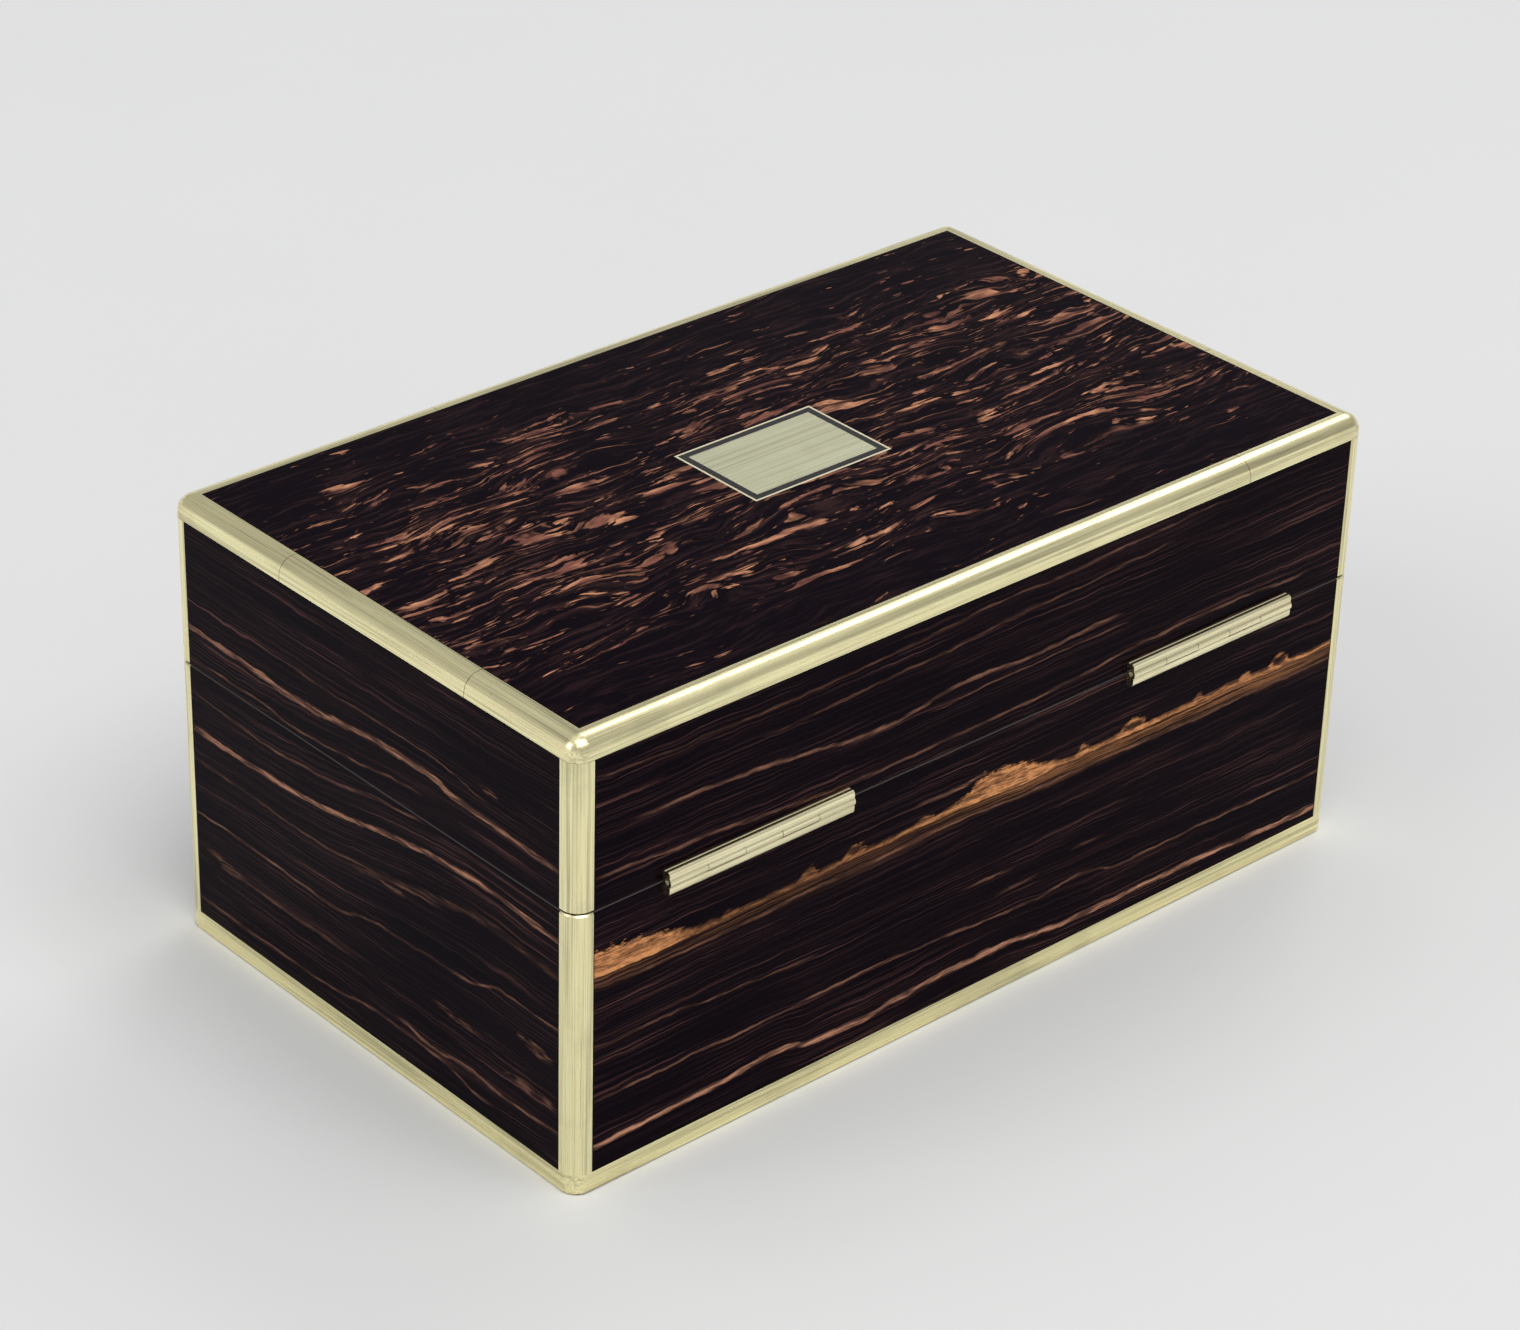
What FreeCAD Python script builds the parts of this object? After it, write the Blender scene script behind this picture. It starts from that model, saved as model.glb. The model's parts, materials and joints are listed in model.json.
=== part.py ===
import FreeCAD, Part
import os

import Sketcher

# A brass-edged jewellery box for travelling, veneered all over, with a lid on two moulded
# hinges, a lift-out tray and a link-plate lock with its key.
# The origin is the middle of the underside. +Z is up, +X is right seen from the front,
# the lock is in the front at -Y and the hinges are on the back at +Y.

SIZES = (
    ("box_width", 305, "outside, over the brass"),
    ("box_depth", 181, "outside, over the brass"),
    ("box_height", 144.5, "underside to the top of the lid"),
    ("base_height", 91, "underside to the rim of the base"),
    ("seam_gap", 0.3, "gap between the rims of base and lid"),
    ("brass_width", 6.5, "width of the edging on each face"),
    ("corner_round", 5.3, "round of the upright corners, seen from above"),
    ("edge_round", 5, "round along the top edges"),
    ("brass_arris", 0.5, "bevel on the brass at the seam and underneath"),
    ("veneer_arris", 0.4, "bevel on the veneer at the seam"),
    ("veneer_thickness", 1, "sawn veneer"),
    ("board_thickness", 8, "walls of base and lid"),
    ("baize_thickness", 0.8, "cloth under the bottom"),
    ("lip_thickness", 2, "boards that line the rim"),
    ("lip_rise", 2.5, "how far they stand above the rim"),
    ("lip_bevel", 0.8, "bevel on their top edges"),
    ("lip_clearance", 0.3, "between them and the walls of the lid"),
    ("lining_thickness", 4.5, "velvet on board round the well"),
    ("floor_pad_thickness", 3, "velvet pad on the floor of the well"),
    ("lining_fit", 0.3, "room round a soft piece"),
    ("lid_pad_thickness", 6.5, "padded panel under the top"),
    ("lid_pad_round", 3, "its soft lower edge"),
    ("hinge_inset", 30.5, "outside of the box to the near end of a hinge"),
    ("hinge_length", 67, "each hinge"),
    ("hinge_standoff", 1.75, "hinge axis behind the back face"),
    ("hinge_rise", 0.4, "hinge axis above the rim of the base"),
    ("barrel_radius", 1.55, "knuckles"),
    ("lobe_clearance", 0.15, "between knuckles and the other leaf's bead"),
    ("lobe_angle", 52, "degrees from level to where each bead starts"),
    ("upper_lobe_height", 3.45, "top of the lid's bead above the axis"),
    ("lower_lobe_height", 4.4, "foot of the base's bead below the axis"),
    ("upper_lobe_round", 1.2, "outer round of the lid's bead"),
    ("lower_lobe_round", 1.9, "outer round of the base's bead"),
    ("quirk_width", 0.5, "groove along the top of the lid's bead"),
    ("quirk_depth", 0.35, "its depth"),
    ("leaf_thickness", 2, "hinge leaves, let into the rims"),
    ("leaf_depth", 8, "hinge leaves, front to back"),
    ("knuckle_gap", 0.1, "end gap of a knuckle"),
    ("pin_radius", 0.75, "hinge pins"),
    ("pin_clearance", 0.05, "between a pin and its knuckles"),
    ("pin_inset", 0.6, "pin end inside the last knuckle"),
    ("leaf_screw_spacing", 24, "screws along a leaf"),
    ("screw_radius", 1.1, "shank"),
    ("screw_head_radius", 2.1, "countersunk head"),
    ("screw_length", 8, "overall"),
    ("screw_slot", 0.5, "slot in the head"),
    ("screw_clearance", 0.05, "between a screw and a brass plate"),
    ("lock_width", 56, "lock case"),
    ("lock_height", 35, "rim of the base to the foot of the case"),
    ("lock_depth", 6, "lock case, front to back"),
    ("lock_wall", 0.9, "sheet of the case"),
    ("rim_plate_ear", 8, "length of the plates on the two rims beyond the case, at each end"),
    ("rim_plate_thickness", 1.5, "plates on the two rims"),
    ("link_depth", 9, "how far the links hang below the lid's rim"),
    ("link_spacing", 24, "between the two links"),
    ("link_thickness", 2.4, "links and bolt, front to back"),
    ("link_shank", 3, "upright of a link"),
    ("link_foot", 2, "height of a link's foot"),
    ("link_mouth", 6.2, "length of a link's foot beyond its shank"),
    ("link_room", 0.6, "room round a link in its slot"),
    ("bolt_throw", 6.126, "travel of the bolt"),
    ("bolt_play", 0.5, "room between tongue and link"),
    ("bolt_bar", 8.2, "height of the bolt's bar"),
    ("tongue_height", 2.8, "tongue of the bolt"),
    ("stud_radius", 1.4, "studs that guide the bolt"),
    ("stud_clearance", 0.05, "between stud and slot"),
    ("stud_spacing", 21, "between the two studs"),
    ("key_drop", 25, "rim of the base to the keyhole's middle"),
    ("key_radius", 1.7, "shank of the key"),
    ("key_clearance", 0.05, "in the case and on the drill pin"),
    ("drill_pin_radius", 0.9, "pin that the hollow key slides on"),
    ("bit_reach", 5, "key axis to the end of the bit"),
    ("bit_thickness", 1.8, "bit of the key"),
    ("bit_width", 2.8, "bit along the shank"),
    ("bit_angle", 45, "degrees that the bit stands back from upright, unlocked"),
    ("talon_drop", 3.3, "key axis to the foot of the bolt"),
    ("talon_half_width", 1.45, "half of the bolt's talon"),
    ("key_stem", 11, "shank outside the escutcheon"),
    ("bow_radius", 6.4, "middle of the ring of the bow"),
    ("bow_wire", 1.35, "half thickness of that ring"),
    ("keyhole_room", 0.5, "round the key in the escutcheon"),
    ("wood_room", 0.8, "round the key in the wood behind it"),
    ("escutcheon_radius", 9, "round plate on the front"),
    ("escutcheon_proud", 0.5, "how far it stands out"),
    ("plaque_width", 46.6, "brass plate on the lid"),
    ("plaque_depth", 30, "brass plate on the lid"),
    ("border_width", 2.3, "dark border round the plate"),
    ("stringing_width", 0.7, "pale line round the border"),
    ("tray_clearance", 0.5, "round the tray inside the lip"),
    ("tray_seat", 0.2, "under the tray"),
    ("tray_recess", 1.8, "rim of the base to the top of the tray"),
    ("tray_height", 27, "overall"),
    ("tray_wall", 3, "walls of the tray"),
    ("tray_floor", 2, "floor of the tray"),
    ("divider_thickness", 2.5, "dividers of the tray"),
    ("divider_drop", 5, "top of the dividers below the walls"),
    ("middle_width", 91, "middle compartment of the tray"),
    ("roll_gap", 0.6, "slit between two ring rolls"),
    ("tab_thickness", 0.8, "lifting tabs"),
    ("tab_width", 16, "lifting tabs"),
    ("tab_rise", 2.5, "tabs above the walls of the tray"),
    ("tab_hold", 4.5, "tabs fixed below the top of the walls"),
)

ROLL_COUNT = 5
KNUCKLE_COUNT = 5

doc = FreeCAD.newDocument("travel_jewelry_box")
sheet = doc.addObject("Spreadsheet::Sheet", "Sizes")
nodes = []


def fill_sheet():
    """Write each size, its name and a note into one row of the sheet."""
    for row, (alias, value, note) in enumerate(SIZES, 1):
        sheet.set(f"A{row}", alias)
        sheet.set(f"B{row}", str(value))
        sheet.setAlias(f"B{row}", alias)
        sheet.set(f"C{row}", note)
    doc.recompute()


def number(expression):
    """The value of an expression on the sheet."""
    return float(sheet.evalExpression(str(expression)))


OUTSIDE = {"x": "Sizes.box_width / 2", "y": "Sizes.box_depth / 2"}


def inset(axis, *depths):
    """Distance from the middle to a plane that is set in from the outside."""
    return "(" + " - ".join([OUTSIDE[axis]] + [f"Sizes.{depth}" for depth in depths]) + ")"


def minus(expression):
    return f"-({expression})"


BRASS = {axis: inset(axis, "brass_width") for axis in "xy"}
CORE = {axis: inset(axis, "veneer_thickness") for axis in "xy"}
INNER = {axis: inset(axis, "veneer_thickness", "board_thickness") for axis in "xy"}
LIP = {axis: inset(axis, "veneer_thickness", "board_thickness", "lip_thickness") for axis in "xy"}
LID_INNER = {axis: f"({INNER[axis]} + Sizes.lip_clearance)" for axis in "xy"}
WELL = {axis: inset(axis, "veneer_thickness", "board_thickness", "lining_thickness") for axis in "xy"}
FOOT_TOP = "Sizes.brass_width"
BASE_RIM = "Sizes.base_height"
LID_RIM = "(Sizes.base_height + Sizes.seam_gap)"
LEDGE = "(Sizes.base_height - Sizes.tray_recess - Sizes.tray_height - Sizes.tray_seat)"
LID_SHOULDER = "(Sizes.box_height - Sizes.brass_width)"
TOP = "Sizes.box_height"

# Each side of the box: the axis that it faces along, and which way.
SIDES = {"front": ("y", -1), "back": ("y", 1), "left": ("x", -1), "right": ("x", 1)}
OTHER = {"x": "y", "y": "x"}


def node(piece):
    """Keep a finished piece as one of the nodes that are written out."""
    nodes.append(piece)
    return piece


def add(kind, label):
    item = doc.addObject(kind, label)
    item.Label = label
    return item


def block(label, low, high):
    """A block between two corners."""
    box = add("Part::Box", label)
    for length, axis, start, stop in zip(("Length", "Width", "Height"), "xyz", low, high):
        box.setExpression(length, f"({stop}) - ({start})")
        box.setExpression(f".Placement.Base.{axis}", start)
    return box


def side_block(label, side, half_length, inner, outer, bottom, top):
    """A block along one side, between two distances from the middle of the box."""
    axis, way = SIDES[side]
    near, far = (inner, outer) if way > 0 else (minus(outer), minus(inner))
    if axis == "y":
        return block(label, (minus(half_length), near, bottom), (half_length, far, top))
    return block(label, (near, minus(half_length), bottom), (far, half_length, top))


TURNS = {
    "x": FreeCAD.Rotation(FreeCAD.Vector(0, 1, 0), 90),
    "y": FreeCAD.Rotation(FreeCAD.Vector(1, 0, 0), -90),
    "z": FreeCAD.Rotation(),
}


def lay(item, axis, start, middle):
    """Turn a round piece to an axis; middle gives its other two coordinates in x, y, z order."""
    item.Placement = FreeCAD.Placement(FreeCAD.Vector(), TURNS[axis])
    places = dict(zip("xyz".replace(axis, ""), middle))
    places[axis] = start
    for name, place in places.items():
        item.setExpression(f".Placement.Base.{name}", place)
    return item


def rod(label, axis, start, stop, middle, radius):
    cylinder = add("Part::Cylinder", label)
    cylinder.setExpression("Radius", radius)
    cylinder.setExpression("Height", f"({stop}) - ({start})")
    return lay(cylinder, axis, start, middle)


def cone(label, bottom, top, middle, bottom_radius, top_radius):
    taper = add("Part::Cone", label)
    taper.setExpression("Radius1", bottom_radius)
    taper.setExpression("Radius2", top_radius)
    taper.setExpression("Height", f"({top}) - ({bottom})")
    return lay(taper, "z", bottom, middle)


def fuse(label, pieces):
    joined = add("Part::MultiFuse", label)
    joined.Shapes = pieces
    return joined


def cut(label, blank, tools):
    result = add("Part::Cut", label)
    result.Base = blank
    result.Tool = tools[0] if len(tools) == 1 else fuse(f"{label}_tools", tools)
    return result


def group(label, pieces):
    """Like pieces kept together as separate solids of one node."""
    compound = add("Part::Compound", label)
    compound.Links = pieces
    return compound


def body(label):
    return add("PartDesign::Body", label)


def sketch_on(owner, plane, height, label):
    """A sketch parallel to one of the body's own planes, at a height along the axis that the
    plane faces. The XZ plane faces -Y."""
    sketch = owner.newObject("Sketcher::SketchObject", label)
    role = f"{plane}_Plane"
    support = [feature for feature in owner.Origin.OriginFeatures if feature.Role == role]
    sketch.AttachmentSupport = [(support[0], "")]
    sketch.MapMode = "FlatFace"
    sketch.setExpression(".AttachmentOffset.Base.z", minus(height) if plane == "XZ" else height)
    return sketch


def bind(sketch, kind, *where, value):
    """Add one dimension to a sketch and tie it to an expression."""
    index = sketch.addConstraint(Sketcher.Constraint(kind, *where, number(value)))
    name = f"size{index}"
    sketch.renameConstraint(index, name)
    sketch.setExpression(f"Constraints.{name}", str(value))


def outline(sketch, points, arcs=None):
    """A closed outline through points. arcs maps the index of a point to the middle and the
    radius of the arc that leads from it to the next point; every arc is under half a turn."""
    arcs = arcs or {}
    spots = [FreeCAD.Vector(number(u), number(v), 0) for u, v in points]
    runs = []
    for index, start in enumerate(spots):
        stop = spots[(index + 1) % len(spots)]
        if index not in arcs:
            geometry = sketch.addGeometry(Part.LineSegment(start, stop), False)
            runs.append((geometry, 1, 2))
            continue
        middle_u, middle_v, radius = arcs[index]
        middle = FreeCAD.Vector(number(middle_u), number(middle_v), 0)
        leftwards = (start - middle).cross(stop - middle).z > 0
        first, last = (start, stop) if leftwards else (stop, start)
        turn = [FreeCAD.Vector(1, 0, 0).getAngle(spot - middle) for spot in (first, last)]
        turn = [-angle if spot.y < middle.y else angle for angle, spot in zip(turn, (first, last))]
        circle = Part.Circle(middle, FreeCAD.Vector(0, 0, 1), number(radius))
        geometry = sketch.addGeometry(Part.ArcOfCircle(circle, turn[0], turn[1]), False)
        runs.append((geometry, 1, 2) if leftwards else (geometry, 2, 1))
    for index, (geometry, _, stop_end) in enumerate(runs):
        following, start_end, _ = runs[(index + 1) % len(runs)]
        sketch.addConstraint(Sketcher.Constraint("Coincident", geometry, stop_end, following, start_end))
    for index, (u, v) in enumerate(points):
        geometry, start_end, _ = runs[index]
        bind(sketch, "DistanceX", -1, 1, geometry, start_end, value=u)
        bind(sketch, "DistanceY", -1, 1, geometry, start_end, value=v)
    for index, (_, _, radius) in arcs.items():
        bind(sketch, "Radius", runs[index][0], value=radius)


def rectangle(sketch, low, high):
    outline(sketch, [low, (high[0], low[1]), high, (low[0], high[1])])


def circle(sketch, middle, radius):
    place = FreeCAD.Vector(number(middle[0]), number(middle[1]), 0)
    ring = Part.Circle(place, FreeCAD.Vector(0, 0, 1), number(radius))
    geometry = sketch.addGeometry(ring, False)
    bind(sketch, "DistanceX", -1, 1, geometry, 3, value=middle[0])
    bind(sketch, "DistanceY", -1, 1, geometry, 3, value=middle[1])
    bind(sketch, "Radius", geometry, value=radius)


def pad(owner, plane, low, high, draw, label):
    """Raise what draw puts in a sketch, from low to high along the axis that the plane faces."""
    sketch = sketch_on(owner, plane, high if plane == "XZ" else low, f"{label}_outline")
    draw(sketch)
    feature = owner.newObject("PartDesign::Pad", label)
    feature.Profile = sketch
    feature.setExpression("Length", f"({high}) - ({low})")
    return feature


def pocket(owner, plane, low, high, draw, label):
    """Cut what draw puts in a sketch out of the body, and make sure that something went."""
    doc.recompute()
    before = owner.Shape.Volume
    sketch = sketch_on(owner, plane, low if plane == "XZ" else high, f"{label}_outline")
    draw(sketch)
    feature = owner.newObject("PartDesign::Pocket", label)
    feature.Profile = sketch
    feature.setExpression("Length", f"({high}) - ({low})")
    doc.recompute()
    if owner.Shape.Volume >= before:
        raise ValueError(f"{label} cuts nothing")
    return feature


def edges_where(feature, test):
    """Names of the edges whose middle passes a test."""
    doc.recompute()
    names = []
    for index, edge in enumerate(feature.Shape.Edges, 1):
        if test(edge.valueAt((edge.FirstParameter + edge.LastParameter) / 2)):
            names.append(f"Edge{index}")
    if not names:
        raise ValueError(f"{feature.Label} has no such edge")
    return names


def soften(owner, kind, size, test, label):
    """Fillet or chamfer the edges of the body's last feature that pass a test."""
    base = owner.Tip
    feature = owner.newObject(f"PartDesign::{kind}", label)
    feature.Base = (base, edges_where(base, test))
    feature.setExpression("Radius" if kind == "Fillet" else "Size", size)
    return feature


def near(value, target):
    return abs(value - target) < 1e-4


def countersunk_holes(owner, plane_height, spots, from_below, label):
    """Screw holes through a brass plate, countersunk from one face."""
    sketch = sketch_on(owner, "XY", plane_height, f"{label}_spots")
    for spot in spots:
        circle(sketch, spot, "Sizes.screw_radius")
    doc.recompute()
    before = owner.Shape.Volume
    holes = owner.newObject("PartDesign::Hole", label)
    holes.Profile = sketch
    holes.DepthType = "Dimension"
    holes.ThreadType = "None"
    holes.HoleCutType = "Countersink"
    holes.HoleCutCustomValues = True
    holes.HoleCutCountersinkAngle = 90
    holes.DrillPoint = "Flat"
    holes.Reversed = from_below
    holes.setExpression("Diameter", "2 * (Sizes.screw_radius + Sizes.screw_clearance)")
    holes.setExpression("HoleCutDiameter", "2 * (Sizes.screw_head_radius + Sizes.screw_clearance)")
    holes.setExpression("Depth", "2 * Sizes.screw_length")
    doc.recompute()
    if owner.Shape.Volume >= before:
        raise ValueError(f"{label} cuts nothing")
    return holes


def carcass_walls(part, bottom, top, inner):
    """Blanks of the four walls. The side walls are rebated over the ends of the other two."""
    walls = {}
    for side in ("front", "back"):
        walls[side] = side_block(f"{part}_{side}_blank", side, BRASS["x"], inner["y"], CORE["y"],
                                 bottom, top)
    for side in ("left", "right"):
        label = f"{part}_{side}_board"
        blank = side_block(f"{label}_blank", side, BRASS["y"], inner["x"], CORE["x"], bottom, top)
        way = SIDES[side][1]
        near_x, far_x = (inner["x"], BRASS["x"]) if way > 0 else (minus(BRASS["x"]), minus(inner["x"]))
        rebates = [
            block(f"{label}_rebate_front", (near_x, minus(BRASS["y"]), bottom),
                  (far_x, minus(inner["y"]), top)),
            block(f"{label}_rebate_back", (near_x, inner["y"], bottom), (far_x, BRASS["y"], top)),
        ]
        walls[side] = node(cut(label, blank, rebates))
    return walls


HINGE_SIDES = {"left": -1, "right": 1}
HINGE_Y = f"({OUTSIDE['y']} + Sizes.hinge_standoff)"
HINGE_Z = "(Sizes.base_height + Sizes.hinge_rise)"


def hinge_middle(side):
    middle = f"({OUTSIDE['x']} - Sizes.hinge_inset - Sizes.hinge_length / 2)"
    return f"({HINGE_SIDES[side]} * {middle})"


def leaf_recesses(part, bottom, top):
    """Blocks where the hinge leaves are let into the back wall and its veneer."""
    return [
        block(f"{part}_leaf_recess_{side}",
              (f"{hinge_middle(side)} - Sizes.hinge_length / 2", inset("y", "leaf_depth"), bottom),
              (f"{hinge_middle(side)} + Sizes.hinge_length / 2", OUTSIDE["y"], top))
        for side in HINGE_SIDES
    ]


def leaf_screw_spots():
    """Middles of the screws in the hinge leaves, seen from above."""
    return [(f"{hinge_middle(side)} + {step} * Sizes.leaf_screw_spacing", inset("y", "leaf_depth / 2"))
            for side in HINGE_SIDES for step in (-1, 0, 1)]


RIM_MIDDLE = f"(({INNER['y']} + {CORE['y']}) / 2)"
RIM_PLATE_END = "(Sizes.lock_width / 2 + Sizes.rim_plate_ear)"


def rim_screw_spots():
    """Middles of the screws in the plates on the front rims, seen from above."""
    middle = "(Sizes.lock_width / 2 + Sizes.rim_plate_ear / 2)"
    return [(f"{way} * {middle}", minus(RIM_MIDDLE)) for way in (-1, 1)]


def pilot_holes(part, spots, face, way):
    """Holes in the wood, as wide as the screws' shanks."""
    low, high = (face, f"{face} + Sizes.screw_length") if way > 0 else (
        f"{face} - Sizes.screw_length", face)
    return [rod(f"{part}_pilot_{index}", "z", low, high, spot, "Sizes.screw_radius")
            for index, spot in enumerate(spots, 1)]


def rim_plate_recess(part, bottom, top, inner):
    return block(f"{part}_rim_recess",
                 (minus(RIM_PLATE_END), minus(CORE["y"]), bottom),
                 (RIM_PLATE_END, minus(inner["y"]), top))


KEY_AXIS = "(Sizes.base_height - Sizes.key_drop)"
LOCK_FOOT = "(Sizes.base_height - Sizes.lock_height)"
CASE_TOP = "(Sizes.base_height - Sizes.rim_plate_thickness)"
LOCK_BACK = minus(INNER["y"])
LOCK_FRONT = f"(-{INNER['y']} - Sizes.lock_depth)"
LOCK_MIDDLE = f"(-{INNER['y']} - Sizes.lock_depth / 2)"


def keyhole(room):
    """Draws a keyhole, round the key's shank with a slot below for the bit."""
    radius = f"(Sizes.key_radius + {room})"
    half_slot = f"(Sizes.bit_thickness / 2 + {room})"
    foot = f"{KEY_AXIS} - Sizes.bit_reach - {room}"
    drop = f"sqrt({radius} * {radius} - {half_slot} * {half_slot})"
    middle = ("0", KEY_AXIS, radius)

    def draw(sketch):
        points = [
            (minus(half_slot), foot),
            (half_slot, foot),
            (half_slot, f"{KEY_AXIS} - {drop}"),
            (radius, KEY_AXIS),
            ("0", f"{KEY_AXIS} + {radius}"),
            (minus(radius), KEY_AXIS),
            (minus(half_slot), f"{KEY_AXIS} - {drop}"),
        ]
        outline(sketch, points, {2: middle, 3: middle, 4: middle, 5: middle})

    return draw


def keyhole_tool():
    """The way through the wood behind the escutcheon."""
    tool = body("keyhole_way")
    pad(tool, "XZ", minus(CORE["y"]), LOCK_FRONT, keyhole("Sizes.wood_room"), "keyhole_way_pad")
    return tool


def make_base_boards():
    walls = carcass_walls("base", FOOT_TOP, BASE_RIM, INNER)
    leaf_floor = f"{BASE_RIM} - Sizes.leaf_thickness"
    back_cuts = leaf_recesses("base", leaf_floor, BASE_RIM)
    back_cuts += pilot_holes("base_back", leaf_screw_spots(), BASE_RIM, -1)
    node(cut("base_back_board", walls["back"], back_cuts))
    mortise = block("lock_mortise", ("-Sizes.lock_width / 2", LOCK_FRONT, LOCK_FOOT),
                    ("Sizes.lock_width / 2", LOCK_BACK, BASE_RIM))
    front_cuts = [mortise, rim_plate_recess("base", CASE_TOP, BASE_RIM, INNER), keyhole_tool()]
    front_cuts += pilot_holes("base_front", rim_screw_spots(), BASE_RIM, -1)
    node(cut("base_front_board", walls["front"], front_cuts))
    low = (minus(BRASS["x"]), minus(BRASS["y"]))
    high = (BRASS["x"], BRASS["y"])
    node(block("bottom_board", (*low, "Sizes.baize_thickness"), (*high, FOOT_TOP)))
    node(block("underside_baize", (*low, "0"), (*high, "Sizes.baize_thickness")))


def make_lid_boards():
    walls = carcass_walls("lid", LID_RIM, LID_SHOULDER, LID_INNER)
    leaf_ceiling = f"{LID_RIM} + Sizes.leaf_thickness"
    back_cuts = leaf_recesses("lid", LID_RIM, leaf_ceiling)
    back_cuts += pilot_holes("lid_back", leaf_screw_spots(), LID_RIM, 1)
    node(cut("lid_back_board", walls["back"], back_cuts))
    plate_top = f"{LID_RIM} + Sizes.rim_plate_thickness"
    front_cuts = [rim_plate_recess("lid", LID_RIM, plate_top, LID_INNER)]
    front_cuts += pilot_holes("lid_front", rim_screw_spots(), LID_RIM, 1)
    node(cut("lid_front_board", walls["front"], front_cuts))
    node(block("lid_top_board", (minus(BRASS["x"]), minus(BRASS["y"]), LID_SHOULDER),
               (BRASS["x"], BRASS["y"], f"{TOP} - Sizes.veneer_thickness")))


def notched(bottom, top, notch_at_top):
    """Points of the back veneer, with a notch at the seam for each hinge leaf."""
    seam, far, step = (top, bottom, -1) if notch_at_top else (bottom, top, 1)
    points = [(minus(BRASS["x"]), far), (minus(BRASS["x"]), seam)]
    for side in HINGE_SIDES:
        start = f"{hinge_middle(side)} - Sizes.hinge_length / 2"
        stop = f"{hinge_middle(side)} + Sizes.hinge_length / 2"
        floor = f"{seam} + {step} * Sizes.leaf_thickness"
        points += [(start, seam), (start, floor), (stop, floor), (stop, seam)]
    return points + [(BRASS["x"], seam), (BRASS["x"], far)]


def side_veneer(label, side, bottom, top, seam, draw):
    """One sheet of veneer, bevelled along its outer edge at the seam."""
    axis, way = SIDES[side]
    inner, outer = CORE[axis], OUTSIDE[axis]
    low, high = (inner, outer) if way > 0 else (minus(outer), minus(inner))
    sheet_body = body(label)
    pad(sheet_body, "XZ" if axis == "y" else "YZ", low, high, draw, f"{label}_pad")
    face, level = way * number(outer), number(seam)

    def at_seam(middle):
        across = middle.y if axis == "y" else middle.x
        return near(across, face) and near(middle.z, level)

    soften(sheet_body, "Chamfer", "Sizes.veneer_arris", at_seam, f"{label}_arris")
    return node(sheet_body)


def make_side_veneers(part, bottom, top, seam):
    for side, (axis, _) in SIDES.items():
        half = BRASS[OTHER[axis]]

        def draw(sketch, side=side, half=half):
            if side == "back":
                outline(sketch, notched(bottom, top, seam == top))
                return
            rectangle(sketch, (minus(half), bottom), (half, top))
            if side == "front" and part == "base":
                circle(sketch, ("0", KEY_AXIS), "Sizes.escutcheon_radius")

        side_veneer(f"{part}_{side}_veneer", side, bottom, top, seam, draw)


def plan_ring(sketch, half_width, half_depth):
    rectangle(sketch, (minus(half_width), minus(half_depth)), (half_width, half_depth))


def make_top_inlay():
    """The top veneer with a plate, a dark border and a pale line let into it."""
    low, high = f"{TOP} - Sizes.veneer_thickness", TOP
    rings = [("Sizes.plaque_width / 2", "Sizes.plaque_depth / 2")]
    for width in ("Sizes.border_width", "Sizes.stringing_width"):
        rings.append(tuple(f"{half} + {width}" for half in rings[-1]))
    rings.append((BRASS["x"], BRASS["y"]))
    for label, inner, outer in (("plaque_border", rings[0], rings[1]),
                                ("plaque_stringing", rings[1], rings[2]),
                                ("lid_top_veneer", rings[2], rings[3])):
        def draw(sketch, inner=inner, outer=outer):
            plan_ring(sketch, *outer)
            plan_ring(sketch, *inner)

        frame = body(label)
        pad(frame, "XY", low, high, draw, f"{label}_pad")
        node(frame)
    plate = body("plaque")
    pad(plate, "XY", low, high, lambda sketch: plan_ring(sketch, *rings[0]), "plaque_pad")
    node(plate)


def mitred_plan(side, inner, outer, rounding=None):
    """Draws one side of a frame seen from above, mitred at both ends. With a rounding, the
    outer corners of the frame are rounded and each mitre cuts the round in half."""
    axis, way = SIDES[side]
    along = OTHER[axis]

    def spot(length, across):
        across = across if way > 0 else minus(across)
        return (length, across) if axis == "y" else (across, length)

    def draw(sketch):
        inner_end, outer_end = inner[along], outer[along]
        if rounding is None:
            outline(sketch, [spot(minus(inner_end), inner[axis]), spot(minus(outer_end), outer[axis]),
                             spot(outer_end, outer[axis]), spot(inner_end, inner[axis])])
            return
        bend_end, bend_across = f"({outer_end} - {rounding})", f"({outer[axis]} - {rounding})"
        half_end, half_across = (f"({bend} + {rounding} * cos(45))" for bend in (bend_end, bend_across))
        points = [
            spot(minus(inner_end), inner[axis]),
            spot(minus(half_end), half_across),
            spot(minus(bend_end), outer[axis]),
            spot(bend_end, outer[axis]),
            spot(half_end, half_across),
            spot(inner_end, inner[axis]),
        ]
        outline(sketch, points, {1: (*spot(minus(bend_end), bend_across), rounding),
                                 3: (*spot(bend_end, bend_across), rounding)})

    return draw


def on_outer_chain(level):
    """Test for the outer edges of a mitred brass strip at one height."""
    half = {axis: number(OUTSIDE[axis]) for axis in "xy"}
    brass = number("Sizes.brass_width")

    def test(middle):
        into_x, into_y = half["x"] - abs(middle.x), half["y"] - abs(middle.y)
        on_mitre = near(into_x, into_y)
        return near(middle.z, number(level)) and min(into_x, into_y) < brass / 2 and not on_mitre

    return test


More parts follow.
